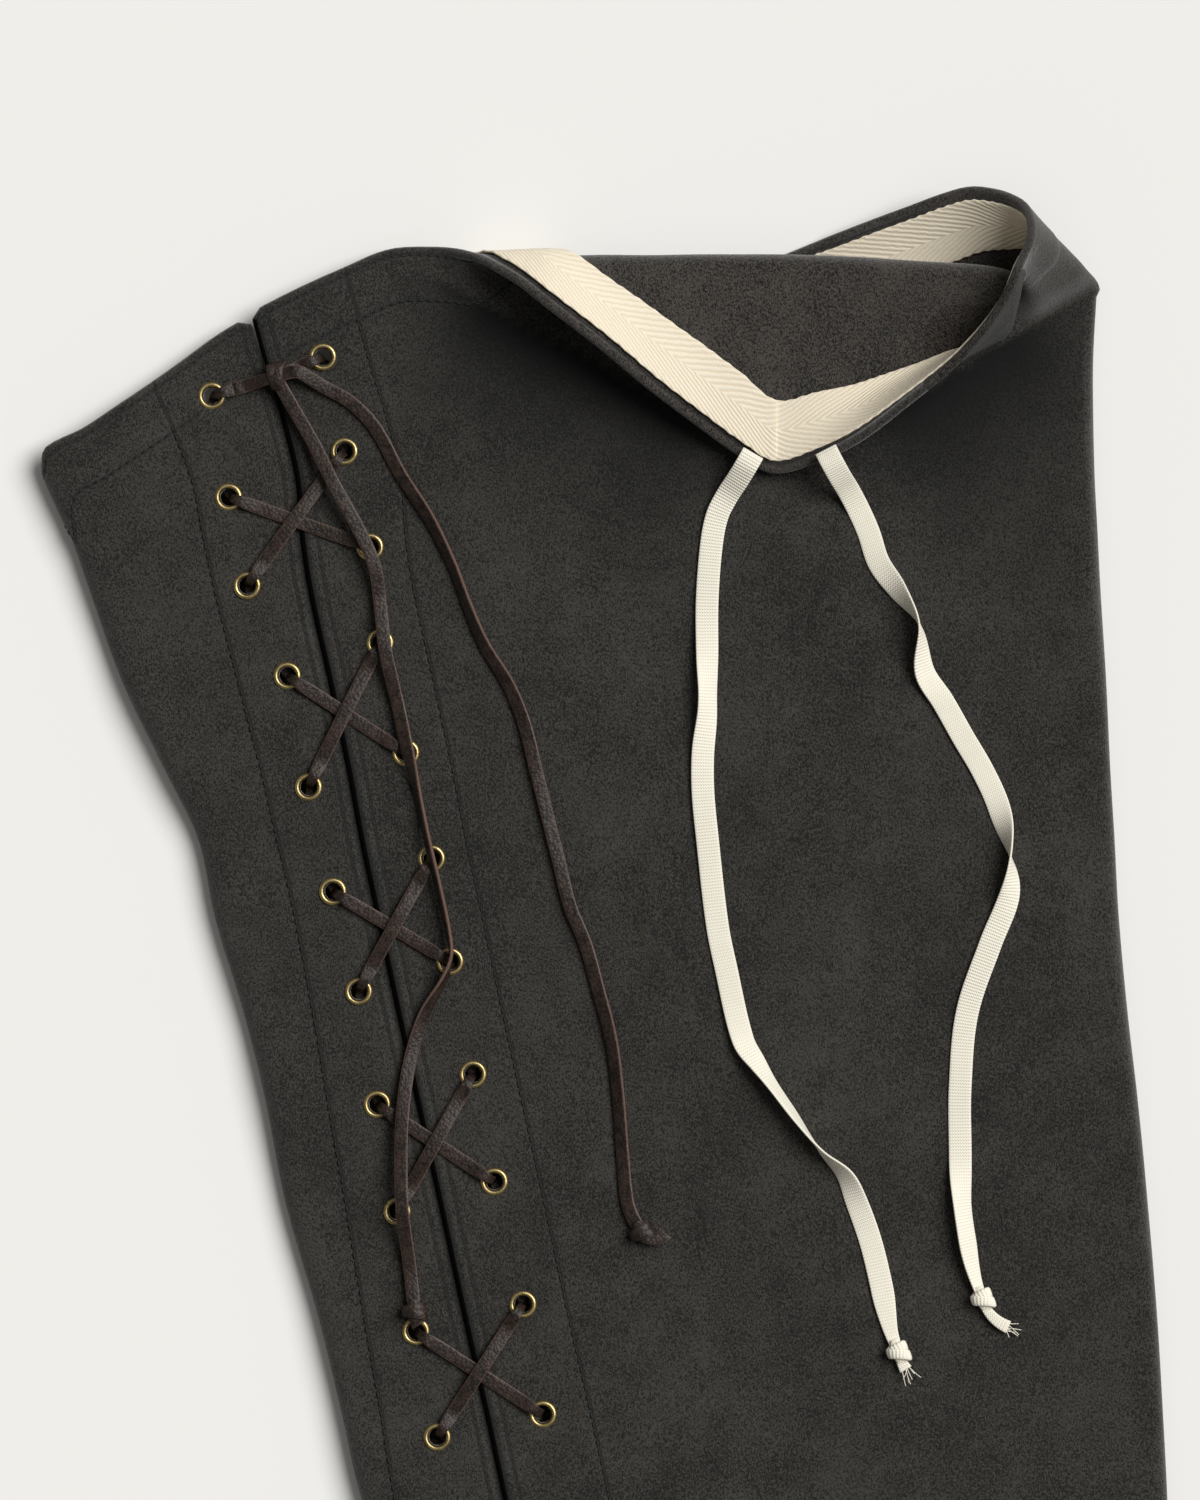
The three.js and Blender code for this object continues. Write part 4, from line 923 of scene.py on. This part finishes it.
def shell(name, points, normals, faces, half, **marks):
    """A sheet's middle points and faces made a closed shell, with a half-round rim."""
    count = len(points)
    half = np.broadcast_to(half, count)[:, None]
    ways = np.stack([faces, np.roll(faces, -1, axis=1)], axis=-1).reshape(-1, 2)
    known = set(map(tuple, ways.tolist()))
    rim = np.array([pair for pair in ways.tolist() if (pair[1], pair[0]) not in known])
    out = np.zeros((count, 3))
    for end in (0, 1):
        away = np.cross(unit(points[rim[:, 1]] - points[rim[:, 0]]), normals[rim[:, end]])
        np.add.at(out, rim[:, end], away)
    edge = np.unique(rim)
    out[edge] = unit(out[edge])
    place = np.full(count, -1)
    place[edge] = np.arange(len(edge))
    layers = [points + normals * half, points - normals * half]
    for angle in RIM_ANGLES:
        turned = out[edge] * math.sin(angle) + normals[edge] * math.cos(angle)
        layers.append(points[edge] + turned * half[edge])
    made = [faces, faces[:, ::-1] + count]
    rings = [lambda k: k]
    rings += [lambda k, ring=ring: 2 * count + ring * len(edge) + place[k] for ring in range(3)]
    rings += [lambda k: count + k]
    a, b = rim[:, 0], rim[:, 1]
    for upper_ring, lower_ring in zip(rings[:-1], rings[1:]):
        made.append(np.stack([upper_ring(b), upper_ring(a), lower_ring(a), lower_ring(b)], 1))
    spread = {
        label: np.concatenate([values, values] + [values[edge]] * len(RIM_ANGLES))
        for label, values in marks.items()
    }
    rim_shares = [np.full(len(edge), (1 - math.cos(angle)) / 2) for angle in RIM_ANGLES]
    spread["inside"] = np.concatenate([np.zeros(count), np.ones(count)] + rim_shares)
    return mesh_piece(name, np.concatenate(layers), np.concatenate(made).tolist(), **spread)


def cut_holes(points, faces, middles, radius):
    """Takes the faces over each hole away, and draws the hole's edge to its circle."""
    faces = faces.copy()
    for middle in middles:
        on_top = points[:, 2] > FRONT_Z - FOLD_RADIUS
        away = np.hypot(*(points[:, :2] - middle).T)
        over = (on_top & (away < radius))[faces].any(axis=1)
        edge = np.unique(faces[over])
        edge = edge[away[edge] >= radius]
        faces = faces[~over]
        edge = edge[np.isin(edge, faces)]
        ways = (points[edge, :2] - middle) / away[edge][:, None]
        points[edge, :2] = middle + ways * radius
    return faces


# Painted shade: the colour is darkened where the front sinks below the turned waist,
# standing in for the shade there. Columns are the ends of each such line, and how far
# the painted shade reaches below it. Then, how it comes in at one end, goes out at the
# other, and starts below the line.
SHADED_HOLLOWS = [(0.078, 0.376, 0.166, 0.429, 0.042), (-0.070, 0.436, 0.052, 0.372, 0.034)]
HOLLOW_IN = (-0.012, 0.030)
HOLLOW_OUT = (-0.034, 0.004)
HOLLOW_TOP = (-0.0015, 0.0005)
hollow_shade = np.zeros(y.shape)
for x0, y0, x1, y1, reach in SHADED_HOLLOWS:
    way = np.array([x1 - x0, y1 - y0])
    length = np.hypot(*way)
    way /= length
    along = (x - x0) * way[0] + (y - y0) * way[1]
    below = (x - x0) * way[1] - (y - y0) * way[0]
    spread = smoothstep(*HOLLOW_IN, along) * (1 - smoothstep(*HOLLOW_OUT, along - length))
    dark = np.exp(-((np.maximum(below, 0) / reach) ** 1.5)) * smoothstep(*HOLLOW_TOP, below)
    hollow_shade = np.maximum(hollow_shade, spread * dark * is_front[:, None] * (from_base <= FADE_LENGTH))

# Painted light and shade. The colour is made paler where the open side rises, a painted
# light on the side that faces the lamp, and the edge that stands beside it gets a copy of
# the wool with little sheen, a painted shade. Each is a ramp over the turn's stations or rows.
FACET_LIGHT_TONE = 0.7
OPENS = (17.2, 18.2)
CLOSES = (23, 26)
STANDS = (12.5, 14)
STANDS_NO_MORE = (17.8, 18.6)
FACET_LIGHT_ROWS = (0.8, 1.3)
STANDING_ROWS = (4.0, 4.6)
station_at = np.interp(places, station_place, np.arange(len(stations)) - len(FRONT_EDGE))
station_at = station_at[:, None]
row_stops = np.concatenate([np.zeros(len(LEG_ROWS)), TURN_STOPS])
opened = smoothstep(*OPENS, station_at) - smoothstep(*CLOSES, station_at)
facet_light = FACET_LIGHT_TONE * opened * smoothstep(*FACET_LIGHT_ROWS, row_stops)
stands = smoothstep(*STANDS, station_at) - smoothstep(*STANDS_NO_MORE, station_at)
standing_shade = stands * smoothstep(*STANDING_ROWS, row_stops)

columns, rows = cloth.shape[:2]
leg_points = cloth.reshape(-1, 3).copy()
leg_faces = grid_faces(columns, rows)
eyelet_places = np.array(EYELETS["left"] + EYELETS["right"])
leg_faces = cut_holes(leg_points, leg_faces, eyelet_places, EYELET_CUT)
leg_normals = cloth_normals.reshape(-1, 3)
leg_half = (WOOL / 2 + DOUBLED * doubled).ravel()
leg_points[:, 2] = np.maximum(leg_points[:, 2], leg_half * np.abs(leg_normals[:, 2]))
used = np.unique(leg_faces)
renumber = np.full(len(leg_points), -1)
renumber[used] = np.arange(len(used))
marks = {"placket": placket, "lip": lip, "waist": waist, "hollow_shade": hollow_shade, "facet_light": facet_light,
         "standing_shade": standing_shade}
leg = shell(
    "leg", leg_points[used], leg_normals[used], renumber[leg_faces], leg_half[used],
    **{label: values.ravel()[used] for label, values in marks.items()})

# Wool: charcoal, fulled until its weave is hidden under a short felted nap.
WOOL_DARK = (0.008, 0.0077, 0.0068, 1)
WOOL_LIGHT = (0.047, 0.0452, 0.0385, 1)
WOOL_WARM = (0.032, 0.024, 0.018, 1)
WOOL_INSIDE = (0.072, 0.061, 0.052, 1)
# Painted shade in the hollows below the turned waist.
PAINTED_SHADE_BLACK = (0.002, 0.002, 0.002, 1)
# Painted shade at the slit: near-black at its lips, and a dark wool without sheen on the lips'
# faces.
SLIT_SHADE_BLACK = (0.003, 0.003, 0.003, 1)
SLIT_SHADE_DARK = (0.001, 0.001, 0.001, 1)
SLIT_SHADE_LIGHT = (0.006, 0.006, 0.0055, 1)
FIBRE_SIZE, FIBRE_TONE = 0.00042, 5.6
SPECK_SIZE, SPECK_TONE = 0.0008, 3.2
# Soft tone: the clouds are partly the wool's own uneven tone and partly painted shade, and the
# broadest blotches are painted shade, standing in for the shading of shallow folds.
CLOUD_SIZE, CLOUD_TONE = 0.012, 1.0
SHADE_BLOTCH_SIZE, SHADE_BLOTCH_TONE = 0.050, 1.2
WARM_SIZE = 0.0022
SLIT_SHADE_NAP_SIZE = 0.0006
WOOL_RELIEF = 0.0004
SLIT_SHADE_RELIEF = 0.0002
SHEEN = 0.36
# Painted shade: the little sheen of the copy of the wool on the edge that stands.
SHADED_STANDING_SHEEN = 0.08
MIDDLE_TONE = 0.47
# Grooves where it is stitched through, sunk in the bump and darkened in colour as painted
# shade: how far in from the slit's lip and from the waist.
LIP_STITCHES = 0.005
EDGE_STITCHES = 0.0025
GROOVE = 0.0013
# The right side's casing hardly shows its groove: from where, as x, and how much less.
GROOVE_FADES = (0.095, 0.112)
GROOVE_FADE = 0.85
# Painted shade at the slit: the ramp over which the colour goes dark from the lip, and how far
# the dark wool reaches.
SEAM_SHADE = (0.0010, 0.0034)
SLIT_SHADE_REACH = 0.0012


def felted(name, sheen):
    """The wool with more or less sheen on its nap."""
    wool = Finish(name, {"Roughness": 0.95, "Sheen Weight": sheen, "Sheen Roughness": 0.5,
                         "Specular IOR Level": 0.15})
    fibres = wool.noise(FIBRE_SIZE, 2.0, 0.65, wool.place((1.0, 0.5, 1.0), (0, 0, 8)))
    specks = wool.noise(SPECK_SIZE, 2.0, 0.65)
    # Painted light: the mark added here makes the base colour paler where the open side rises.
    tone = MIDDLE_TONE + wool.mark("facet_light")
    # The tone sums fibre and speck noise, soft clouds and broad blotches of painted shade.
    for noise, share in (
            (fibres, FIBRE_TONE), (specks, SPECK_TONE), (wool.noise(CLOUD_SIZE), CLOUD_TONE),
            (wool.noise(SHADE_BLOTCH_SIZE), SHADE_BLOTCH_TONE)):
        tone = tone + (noise - 0.5) * share
    warm = wool.step(wool.noise(WARM_SIZE), 0.56, 0.70) * 0.6
    inside = wool.step(wool.mark("inside"), 0.3, 0.8)
    across_leg = wool.node("ShaderNodeSeparateXYZ", {}, {"Vector": wool.place()})
    # The stitched grooves: a dip in the bump, and a darker colour that is painted shade.
    groove_with_shade = 0.0
    for label, line in (("placket", 0.0), ("lip", LIP_STITCHES), ("waist", CASING),
                        ("waist", EDGE_STITCHES)):
        groove_with_shade = groove_with_shade + (1 - wool.step(abs(wool.mark(label) - line), 0.0, GROOVE))
    groove_with_shade = groove_with_shade * (1 - wool.step(across_leg, *GROOVE_FADES) * GROOVE_FADE)
    # Painted shade: the colour goes near-black close to the slit's lips.
    slit_shade = 1 - wool.step(abs(wool.mark("lip")), *SEAM_SHADE)
    colour = wool.blend(tone, WOOL_DARK, WOOL_LIGHT)
    # Blended over the tone: warm flecks and the inside face, which are the wool's own colour,
    # then painted shade in the hollows, the grooves and at the slit's lips.
    for share, over in (
            (warm, WOOL_WARM), (inside * (tone * 0.6 + 0.1), WOOL_INSIDE),
            (wool.mark("hollow_shade"), PAINTED_SHADE_BLACK), (groove_with_shade * 0.6, WOOL_DARK),
            (slit_shade * 0.8, SLIT_SHADE_BLACK)):
        colour = wool.blend(share, colour, over)
    wool.finish(colour, (fibres + specks) * 0.7 - groove_with_shade * 1.4, WOOL_RELIEF)
    return wool


set_on(leg, felted("wool", SHEEN), "wool", "leg_front", "leg_waist", "leg_fold_right",
       "leg_back", "leg_fold_left", "leg_side")
# Painted shade: a dark wool without sheen for the faces at the slit's lips, where the crease lies
# in shade.
slit_shade_wool = Finish("wool_slit_shade", {"Roughness": 1.0, "Specular IOR Level": 0.0})
shadow = slit_shade_wool.noise(SLIT_SHADE_NAP_SIZE)
slit_shade_wool.finish(slit_shade_wool.blend(shadow, SLIT_SHADE_DARK, SLIT_SHADE_LIGHT), shadow, SLIT_SHADE_RELIEF)
leg.data.materials.append(slit_shade_wool.material)
# Painted shade: a copy of the wool with little sheen darkens the edge that stands.
leg.data.materials.append(felted("wool_standing", SHADED_STANDING_SHEEN).material)


def mark_values(label):
    values = np.zeros(len(leg.data.vertices))
    leg.data.attributes[label].data.foreach_get("value", values)
    return values


# Each face's finish: the dark painted-shade wool at the slit's lips, the low-sheen copy on the
# standing edge, and the plain wool elsewhere.
lips, stood = mark_values("lip"), mark_values("standing_shade")
leg.data.polygons.foreach_set("material_index", [
    1 if max(lips[k] for k in face.vertices) < SLIT_SHADE_REACH
    else 2 if min(stood[k] for k in face.vertices) > 0.5 else 0
    for face in leg.data.polygons])


# Stitching: single lines of charcoal thread, pulled a little into the wool. They hold the
# doubled wool down beside the slit, and the waist where it is turned in.
THREAD = 0.0006
STITCH = 0.0026
STITCH_GAP = 0.0007
STITCH_SIDES = 5
# A stitch's points: shares of its length, and heights in threads.
STITCH_PLACES = np.array([0, 0.12, 0.5, 0.88, 1])
STITCH_RISES = np.array([-1.2, -0.2, 0.1, -0.2, -1.2])
THREAD_SINK = 0.00005
PLY_SIZE = 0.0004
PLY_RELIEF = 0.0001
LAST_STITCH_X = 0.060
THREAD_DARK = (0.004, 0.004, 0.004, 1)
THREAD_LIGHT = (0.014, 0.013, 0.012, 1)


def level_line(field, level, along_rows):
    """Where a distance over the cloth has a value: a point and normal for each row or column."""
    points, ups = [], []
    for k in range(field.shape[1 - along_rows]):
        pick = (slice(None), k) if not along_rows else (k, slice(None))
        line, far = cloth[pick], field[pick]
        order = np.argsort(far)
        if not far[order[0]] <= level <= far[order[-1]]:
            continue
        points.append([np.interp(level, far[order], line[order, axis]) for axis in range(3)])
        ups.append([np.interp(level, far[order], cloth_normals[pick][order, axis])
                    for axis in range(3)])
    return np.array(points), unit(np.array(ups))


thread_points, thread_faces = [], []


def sew(points, ups, lift):
    """Lays stitches of thread along a line on the cloth."""
    stops = lengths_along(points)
    pitch = STITCH + STITCH_GAP
    for k in range(int(stops[-1] / pitch)):
        at = k * pitch + STITCH_PLACES * STITCH
        line = np.stack([np.interp(at, stops, points[:, axis]) for axis in range(3)], 1)
        up = unit(np.stack([np.interp(at, stops, ups[:, axis]) for axis in range(3)], 1))
        line = line + up * (lift + THREAD * STITCH_RISES)[:, None]
        ways = unit(np.gradient(line, axis=0))
        sides = unit(np.cross(up, ways))
        start = len(thread_points)
        for ring in (1, 2, 3):
            for turn in range(STITCH_SIDES):
                angle = math.tau * turn / STITCH_SIDES
                spread = sides[ring] * math.cos(angle) + up[ring] * math.sin(angle)
                thread_points.append(line[ring] + spread * THREAD / 2)
        thread_points.extend([line[0], line[4]])
        first_tip, last_tip = start + 3 * STITCH_SIDES, start + 3 * STITCH_SIDES + 1
        for turn in range(STITCH_SIDES):
            after = (turn + 1) % STITCH_SIDES
            for ring in (0, 1):
                low, high = start + ring * STITCH_SIDES, start + (ring + 1) * STITCH_SIDES
                thread_faces.append([low + after, low + turn, high + turn, high + after])
            thread_faces.append([start + turn, start + after, first_tip])
            high = start + 2 * STITCH_SIDES
            thread_faces.append([high + after, high + turn, last_tip])


surface = WOOL / 2 + DOUBLED - THREAD_SINK
front_only, strip_only = is_front[:, None], is_strip[:, None]
for field, level, part in (
        (placket, 0.0, front_only), (placket, 0.0, strip_only),
        (lip, LIP_STITCHES, front_only), (lip, LIP_STITCHES, strip_only)):
    line, ups = level_line(np.where(part, field, FAR_AWAY), level, 0)
    kept = line[:, 1] > SLIT_FOOT_Y
    sew(line[kept], ups[kept], surface)
for level in (CASING, EDGE_STITCHES):
    line, ups = level_line(waist, level, 1)
    hidden = np.flatnonzero(line[:, 0] > LAST_STITCH_X)
    for stretch in (slice(0, hidden[0]), slice(hidden[-1] + 1, None)):
        sew(line[stretch], ups[stretch], surface)
thread_points = np.array(thread_points)
thread_points[:, 2] = np.maximum(thread_points[:, 2], 0)
stitching = mesh_piece("stitching", thread_points, thread_faces)
thread = Finish("thread", {"Roughness": 0.7})
ply = thread.noise(PLY_SIZE)
thread.finish(thread.blend(ply, THREAD_DARK, THREAD_LIGHT), ply, PLY_RELIEF)
set_on(stitching, thread, "wool")


# Waist tape: cream herringbone cotton, laid inside the edge and felled down. Two lengths
# meet at the point, where the left one's folded end lies over the right one's.
TAPE_WIDTH = 0.020
TAPE_MARGIN = 0.004
TAPE_THICK = 0.0008
TAPE_ROWS = 15
TAPE_STEP = 0.0016
TAPE_CLEARANCE = 0.0001
TAPE_OVERLAP = 0.0012
SCALLOP = 0.00022
SCALLOP_PITCH = 0.0036
TWILL_PITCH = 0.0016
TWILL_TILT = math.radians(24)
WOBBLE_SIZE = 0.002
YARN_SIZE = 0.0006
TWILL_RELIEF = 0.0002
TAPE_LIGHT = (0.82, 0.74, 0.59, 1)
TAPE_DARK = (0.70, 0.60, 0.44, 1)

tape = Finish("tape", COTTON)
from_spine = abs(tape.mark("across")) * math.cos(TWILL_TILT)
twill = (from_spine - tape.mark("along") * math.sin(TWILL_TILT)) / TWILL_PITCH
wobble = (tape.noise(WOBBLE_SIZE) - 0.5) * 0.5
ridge = ((twill + wobble) * math.tau).sine() * 0.5 + 0.5
yarn = tape.noise(YARN_SIZE, 2.0, 0.6)
tape_colour = tape.blend(tape.step(ridge, 0.0, 0.5) * 0.75 + yarn * 0.25, TAPE_DARK, TAPE_LIGHT)
tape.finish(tape_colour, ridge * 0.8 + yarn * 0.4, TWILL_RELIEF)


def waist_tape(name, first, last, lift):
    """A length of tape sewn along inside the waist edge, between two places round it."""
    wanted = np.arange(first, last, TAPE_STEP)
    levels = TAPE_MARGIN + TAPE_WIDTH * np.linspace(1, 0, TAPE_ROWS)
    lines, ups = [], []
    for level_down in levels:
        line, up = level_line(waist, level_down, 1)
        lines.append(smooth_through(places, line, wanted))
        ups.append(smooth_through(places, up, wanted))
    lines, ups = np.stack(lines, axis=1), unit(np.stack(ups, axis=1))
    along = lengths_along(lines[:, TAPE_ROWS // 2])
    wave = SCALLOP * np.sin(math.tau * along / SCALLOP_PITCH)
    across_way = unit(lines[:, 0] - lines[:, -1])
    lines[:, 0] += across_way * wave[:, None]
    lines[:, -1] -= across_way * wave[:, None]
    middle = lines - ups * (WOOL / 2 + DOUBLED + TAPE_THICK / 2 + lift)
    across = np.tile(levels - TAPE_MARGIN - TAPE_WIDTH / 2, len(wanted))
    piece = shell(
        "sewn_" + name, middle.reshape(-1, 3), ups.reshape(-1, 3),
        grid_faces(len(wanted), TAPE_ROWS), TAPE_THICK / 2,
        along=np.repeat(along, TAPE_ROWS), across=across)
    set_on(piece, tape, "tape", name)


tape_start = station_place[len(FRONT_EDGE) + 1]
tape_tip = station_place[TIP_STATION]
tape_end = station_place[TAPE_END_STATION]
waist_tape("tape_left", tape_start, tape_tip + TAPE_OVERLAP, TAPE_THICK)
waist_tape("tape_right", tape_tip - TAPE_OVERLAP, tape_end, TAPE_CLEARANCE)


# Eyelets: each is pressed from brass tube, its top rolled over into a round ring that
# holds the wool, and its barrel set down through the cloth.
EYELET_SIDES = 40
BRASS_BRIGHT = (0.56, 0.44, 0.20, 1)
BRASS_DARK = (0.30, 0.22, 0.10, 1)
PATINA_SIZE = 0.0022
SCRATCH_SIZE = 0.0007
BRASS_RELIEF = 0.00004
# The ring's outline from its inner foot over the top to its outer foot: radius, height.
EYELET_OUTLINE = [
    (0.0032, -0.0030), (0.00305, -0.0012), (0.0030, -0.0002), (0.00305, 0.0004),
    (0.0034, 0.0010), (0.0039, 0.0013), (0.0044, 0.0011), (0.0048, 0.0007),
    (0.0050, 0.0001), (0.0049, -0.0003), (0.0046, -0.0004), (0.0040, -0.0002),
    (0.0036, -0.0010), (0.0036, -0.0030),
]


def eyelet_model():
    """One eyelet about the origin, drawn ring by ring from a circle of its inner foot."""
    start_radius, start_height = EYELET_OUTLINE[0]
    bpy.ops.mesh.primitive_circle_add(
        vertices=EYELET_SIDES, radius=start_radius, location=(0, 0, start_height))
    made = bpy.context.object
    bpy.ops.object.transform_apply(location=True)
    bpy.ops.object.mode_set(mode="EDIT")
    radius, height = start_radius, start_height
    for next_radius, next_height in EYELET_OUTLINE[1:]:
        size = next_radius / radius
        bpy.ops.mesh.extrude_region_move(
            TRANSFORM_OT_translate={"value": (0, 0, next_height - height)})
        bpy.ops.transform.resize(value=(size, size, 1), center_override=(0, 0, next_height))
        radius, height = next_radius, next_height
    bpy.ops.mesh.select_all(action="SELECT")
    bpy.ops.mesh.normals_make_consistent(inside=False)
    bpy.ops.object.mode_set(mode="OBJECT")
    bpy.ops.object.select_all(action="DESELECT")
    return made


brass = Finish("brass", {"Metallic": 1.0})
patina = brass.noise(PATINA_SIZE, 3.0, 0.6)
scratch = brass.noise(SCRATCH_SIZE, 2.0, 0.6)
brass_colour = brass.blend(brass.step(patina, 0.35, 0.7), BRASS_BRIGHT, BRASS_DARK)
brass.finish(brass_colour, scratch, BRASS_RELIEF, 0.25 + patina * 0.3)
model = eyelet_model()
for side, row in EYELETS.items():
    for k, (eyelet_x, eyelet_y) in enumerate(row):
        name = f"eyelet_{side}_{k + 1}"
        ring = bpy.data.objects.new("ring_" + name, model.data.copy())
        bpy.context.scene.collection.objects.link(ring)
        height = FRONT_TOP + DOUBLED - DIMPLE_DEPTH + float(lay(eyelet_x, eyelet_y))
        ring.data.transform(Matrix.Translation((eyelet_x, eyelet_y, height)))
        ring.data.shade_smooth()
        set_on(ring, brass, "brass", name)
bpy.data.objects.remove(model)


# Lace: leather thong through the eyelets. Each half crosses the slit on the face from one
# row to the other, and runs straight down inside between one crossing and the next.
LACE_IN_Z = 0.0052
# Places along a crossing: distance from its eyelet, height over the front, share of width.
LACE_OUT = [
    (0.0004, -0.0052, 0.62), (0.0007, -0.0015, 0.62), (0.0016, 0.0009, 0.66),
    (0.0036, 0.0026, 0.8), (0.0062, 0.0024, 0.95), (0.010, 0.0016, 1.0),
]
OVER_LIFT = 0.0022
TOP_LIFT = 0.0008
# The middle of a crossing: places as shares of it, height, and how far that holds beside.
CROSSING_SHARES = (0.38, 0.5, 0.62)
CROSSING_RISE = 0.0013
CROSSING_SHOULDER = 0.85
INSIDE_SHARES = (0.12, 0.35, 0.65, 0.88)
OUT_OF_KNOT = 0.003
KNOT_SQUEEZE = 0.9
FOOT_GAP = 0.001
LACE_STEP = 0.0011
PULLED_THICK = LACE_THICK * 0.85


def ground(place):
    """The height of the front's face at a place."""
    return FRONT_TOP + float(lay(*place))


def lace_half(name, first, second, over_first):
    """One half of the lace, from the knot at the waist to the slit's lowest eyelets."""
    stops = [np.array(place if k // 2 % 2 == 0 else second[k]) for k, place in enumerate(first)]
    *knot, knot_height = KNOT_MIDDLES["lace_knot"]
    centres, sides, widths = [], [], []

    def put(place, z, side, width):
        centres.append((place[0], place[1], z))
        if sides and np.dot(sides[-1], side) < 0:
            side = -side
        sides.append(side)
        widths.append(width)

    def run(start, end, lift, out_first=True):
        way = unit(end - start)
        side = np.array([-way[1], way[0], 0])
        length = np.linalg.norm(end - start)
        if out_first:
            for far, high, wide in LACE_OUT:
                place = start + way * far
                put(place, ground(place) + high, side, wide)
        for share in CROSSING_SHARES:
            place = start + way * length * share
            raised_by = lift * (1 if share == 0.5 else CROSSING_SHOULDER)
            put(place, ground(place) + CROSSING_RISE + raised_by, side, 1.0)
        for far, high, wide in LACE_OUT[::-1]:
            place = end - way * far
            put(place, ground(place) + high, side, wide)

    def inside(start, end):
        way = unit(end - start)
        side = np.array([-way[1], way[0], 0])
        for share in INSIDE_SHARES:
            put(start + (end - start) * share, LACE_IN_Z, side, 1.0)

    way = unit(stops[0] - knot)
    for far in (0.0, OUT_OF_KNOT):
        put(knot + way * far, knot_height, np.array([-way[1], way[0], 0]), KNOT_SQUEEZE)
    run(knot + way * OUT_OF_KNOT, stops[0], TOP_LIFT, out_first=False)
    for k in range(0, len(stops) - 1, 2):
        inside(stops[k], stops[k + 1])
        over = (k // 2 % 2 == 0) == over_first
        run(stops[k + 1], stops[k + 2], OVER_LIFT if over else 0.0)
    foot = (np.array(EYELETS["left"][-1]) + np.array(EYELETS["right"][-1])) / 2
    inside(stops[-1], foot + unit(stops[-1] - foot) * FOOT_GAP)
    route = np.array(centres)
    knots_along = lengths_along(route)
    count = round(knots_along[-1] / LACE_STEP)
    at = np.linspace(0, knots_along[-1], count)
    line = smooth_through(knots_along, route, at)
    sides_at = smooth_through(knots_along, np.array(sides), at)
    widths_at = smooth_through(knots_along, np.array(widths), at) * LACE_WIDTH
    piece = band("threaded_" + name, line, sides_at, widths_at, PULLED_THICK, LACE_CORNER)
    set_on(piece, leather, "leather", name)


lace_half("lace_a", EYELETS["left"], EYELETS["right"], False)
lace_half("lace_b", EYELETS["right"], EYELETS["left"], True)


# Floor and lights: a plain pale table, and soft studio light. One wide lamp stands at the
# upper right, and an even pale sky fills its shadows.
FLOOR_SIZE = 40
FLOOR_Z = -0.0003
FLOOR_COLOUR = (0.86, 0.85, 0.82, 1)
SUN_AZIMUTH = 28
SUN_ELEVATION = 50
SUN_STRENGTH = 3.36
SUN_SPREAD = 40
SKY_COLOUR = (1.0, 0.99, 0.97, 1)
SKY_STRENGTH = 0.19

bpy.ops.mesh.primitive_plane_add(size=FLOOR_SIZE, location=(0, 0, FLOOR_Z))
floor = bpy.context.object
floor.name = "floor"
paper = Finish(
    "paper", {"Base Color": FLOOR_COLOUR, "Roughness": 0.9, "Specular IOR Level": 0.1})
floor.data.materials.append(paper.material)

sun = bpy.data.objects.new("window", bpy.data.lights.new("window", "SUN"))
sun.data.energy = SUN_STRENGTH
sun.data.angle = math.radians(SUN_SPREAD)
sun.rotation_euler = (
    math.radians(90 - SUN_ELEVATION), 0, math.radians(SUN_AZIMUTH + 90))
bpy.context.scene.collection.objects.link(sun)
sky = bpy.data.worlds.new("sky")
sky.use_nodes = True
daylight = sky.node_tree.nodes["Background"]
daylight.inputs["Color"].default_value = SKY_COLOUR
daylight.inputs["Strength"].default_value = SKY_STRENGTH
bpy.context.scene.world = sky
bpy.context.scene.view_settings.view_transform = "Standard"
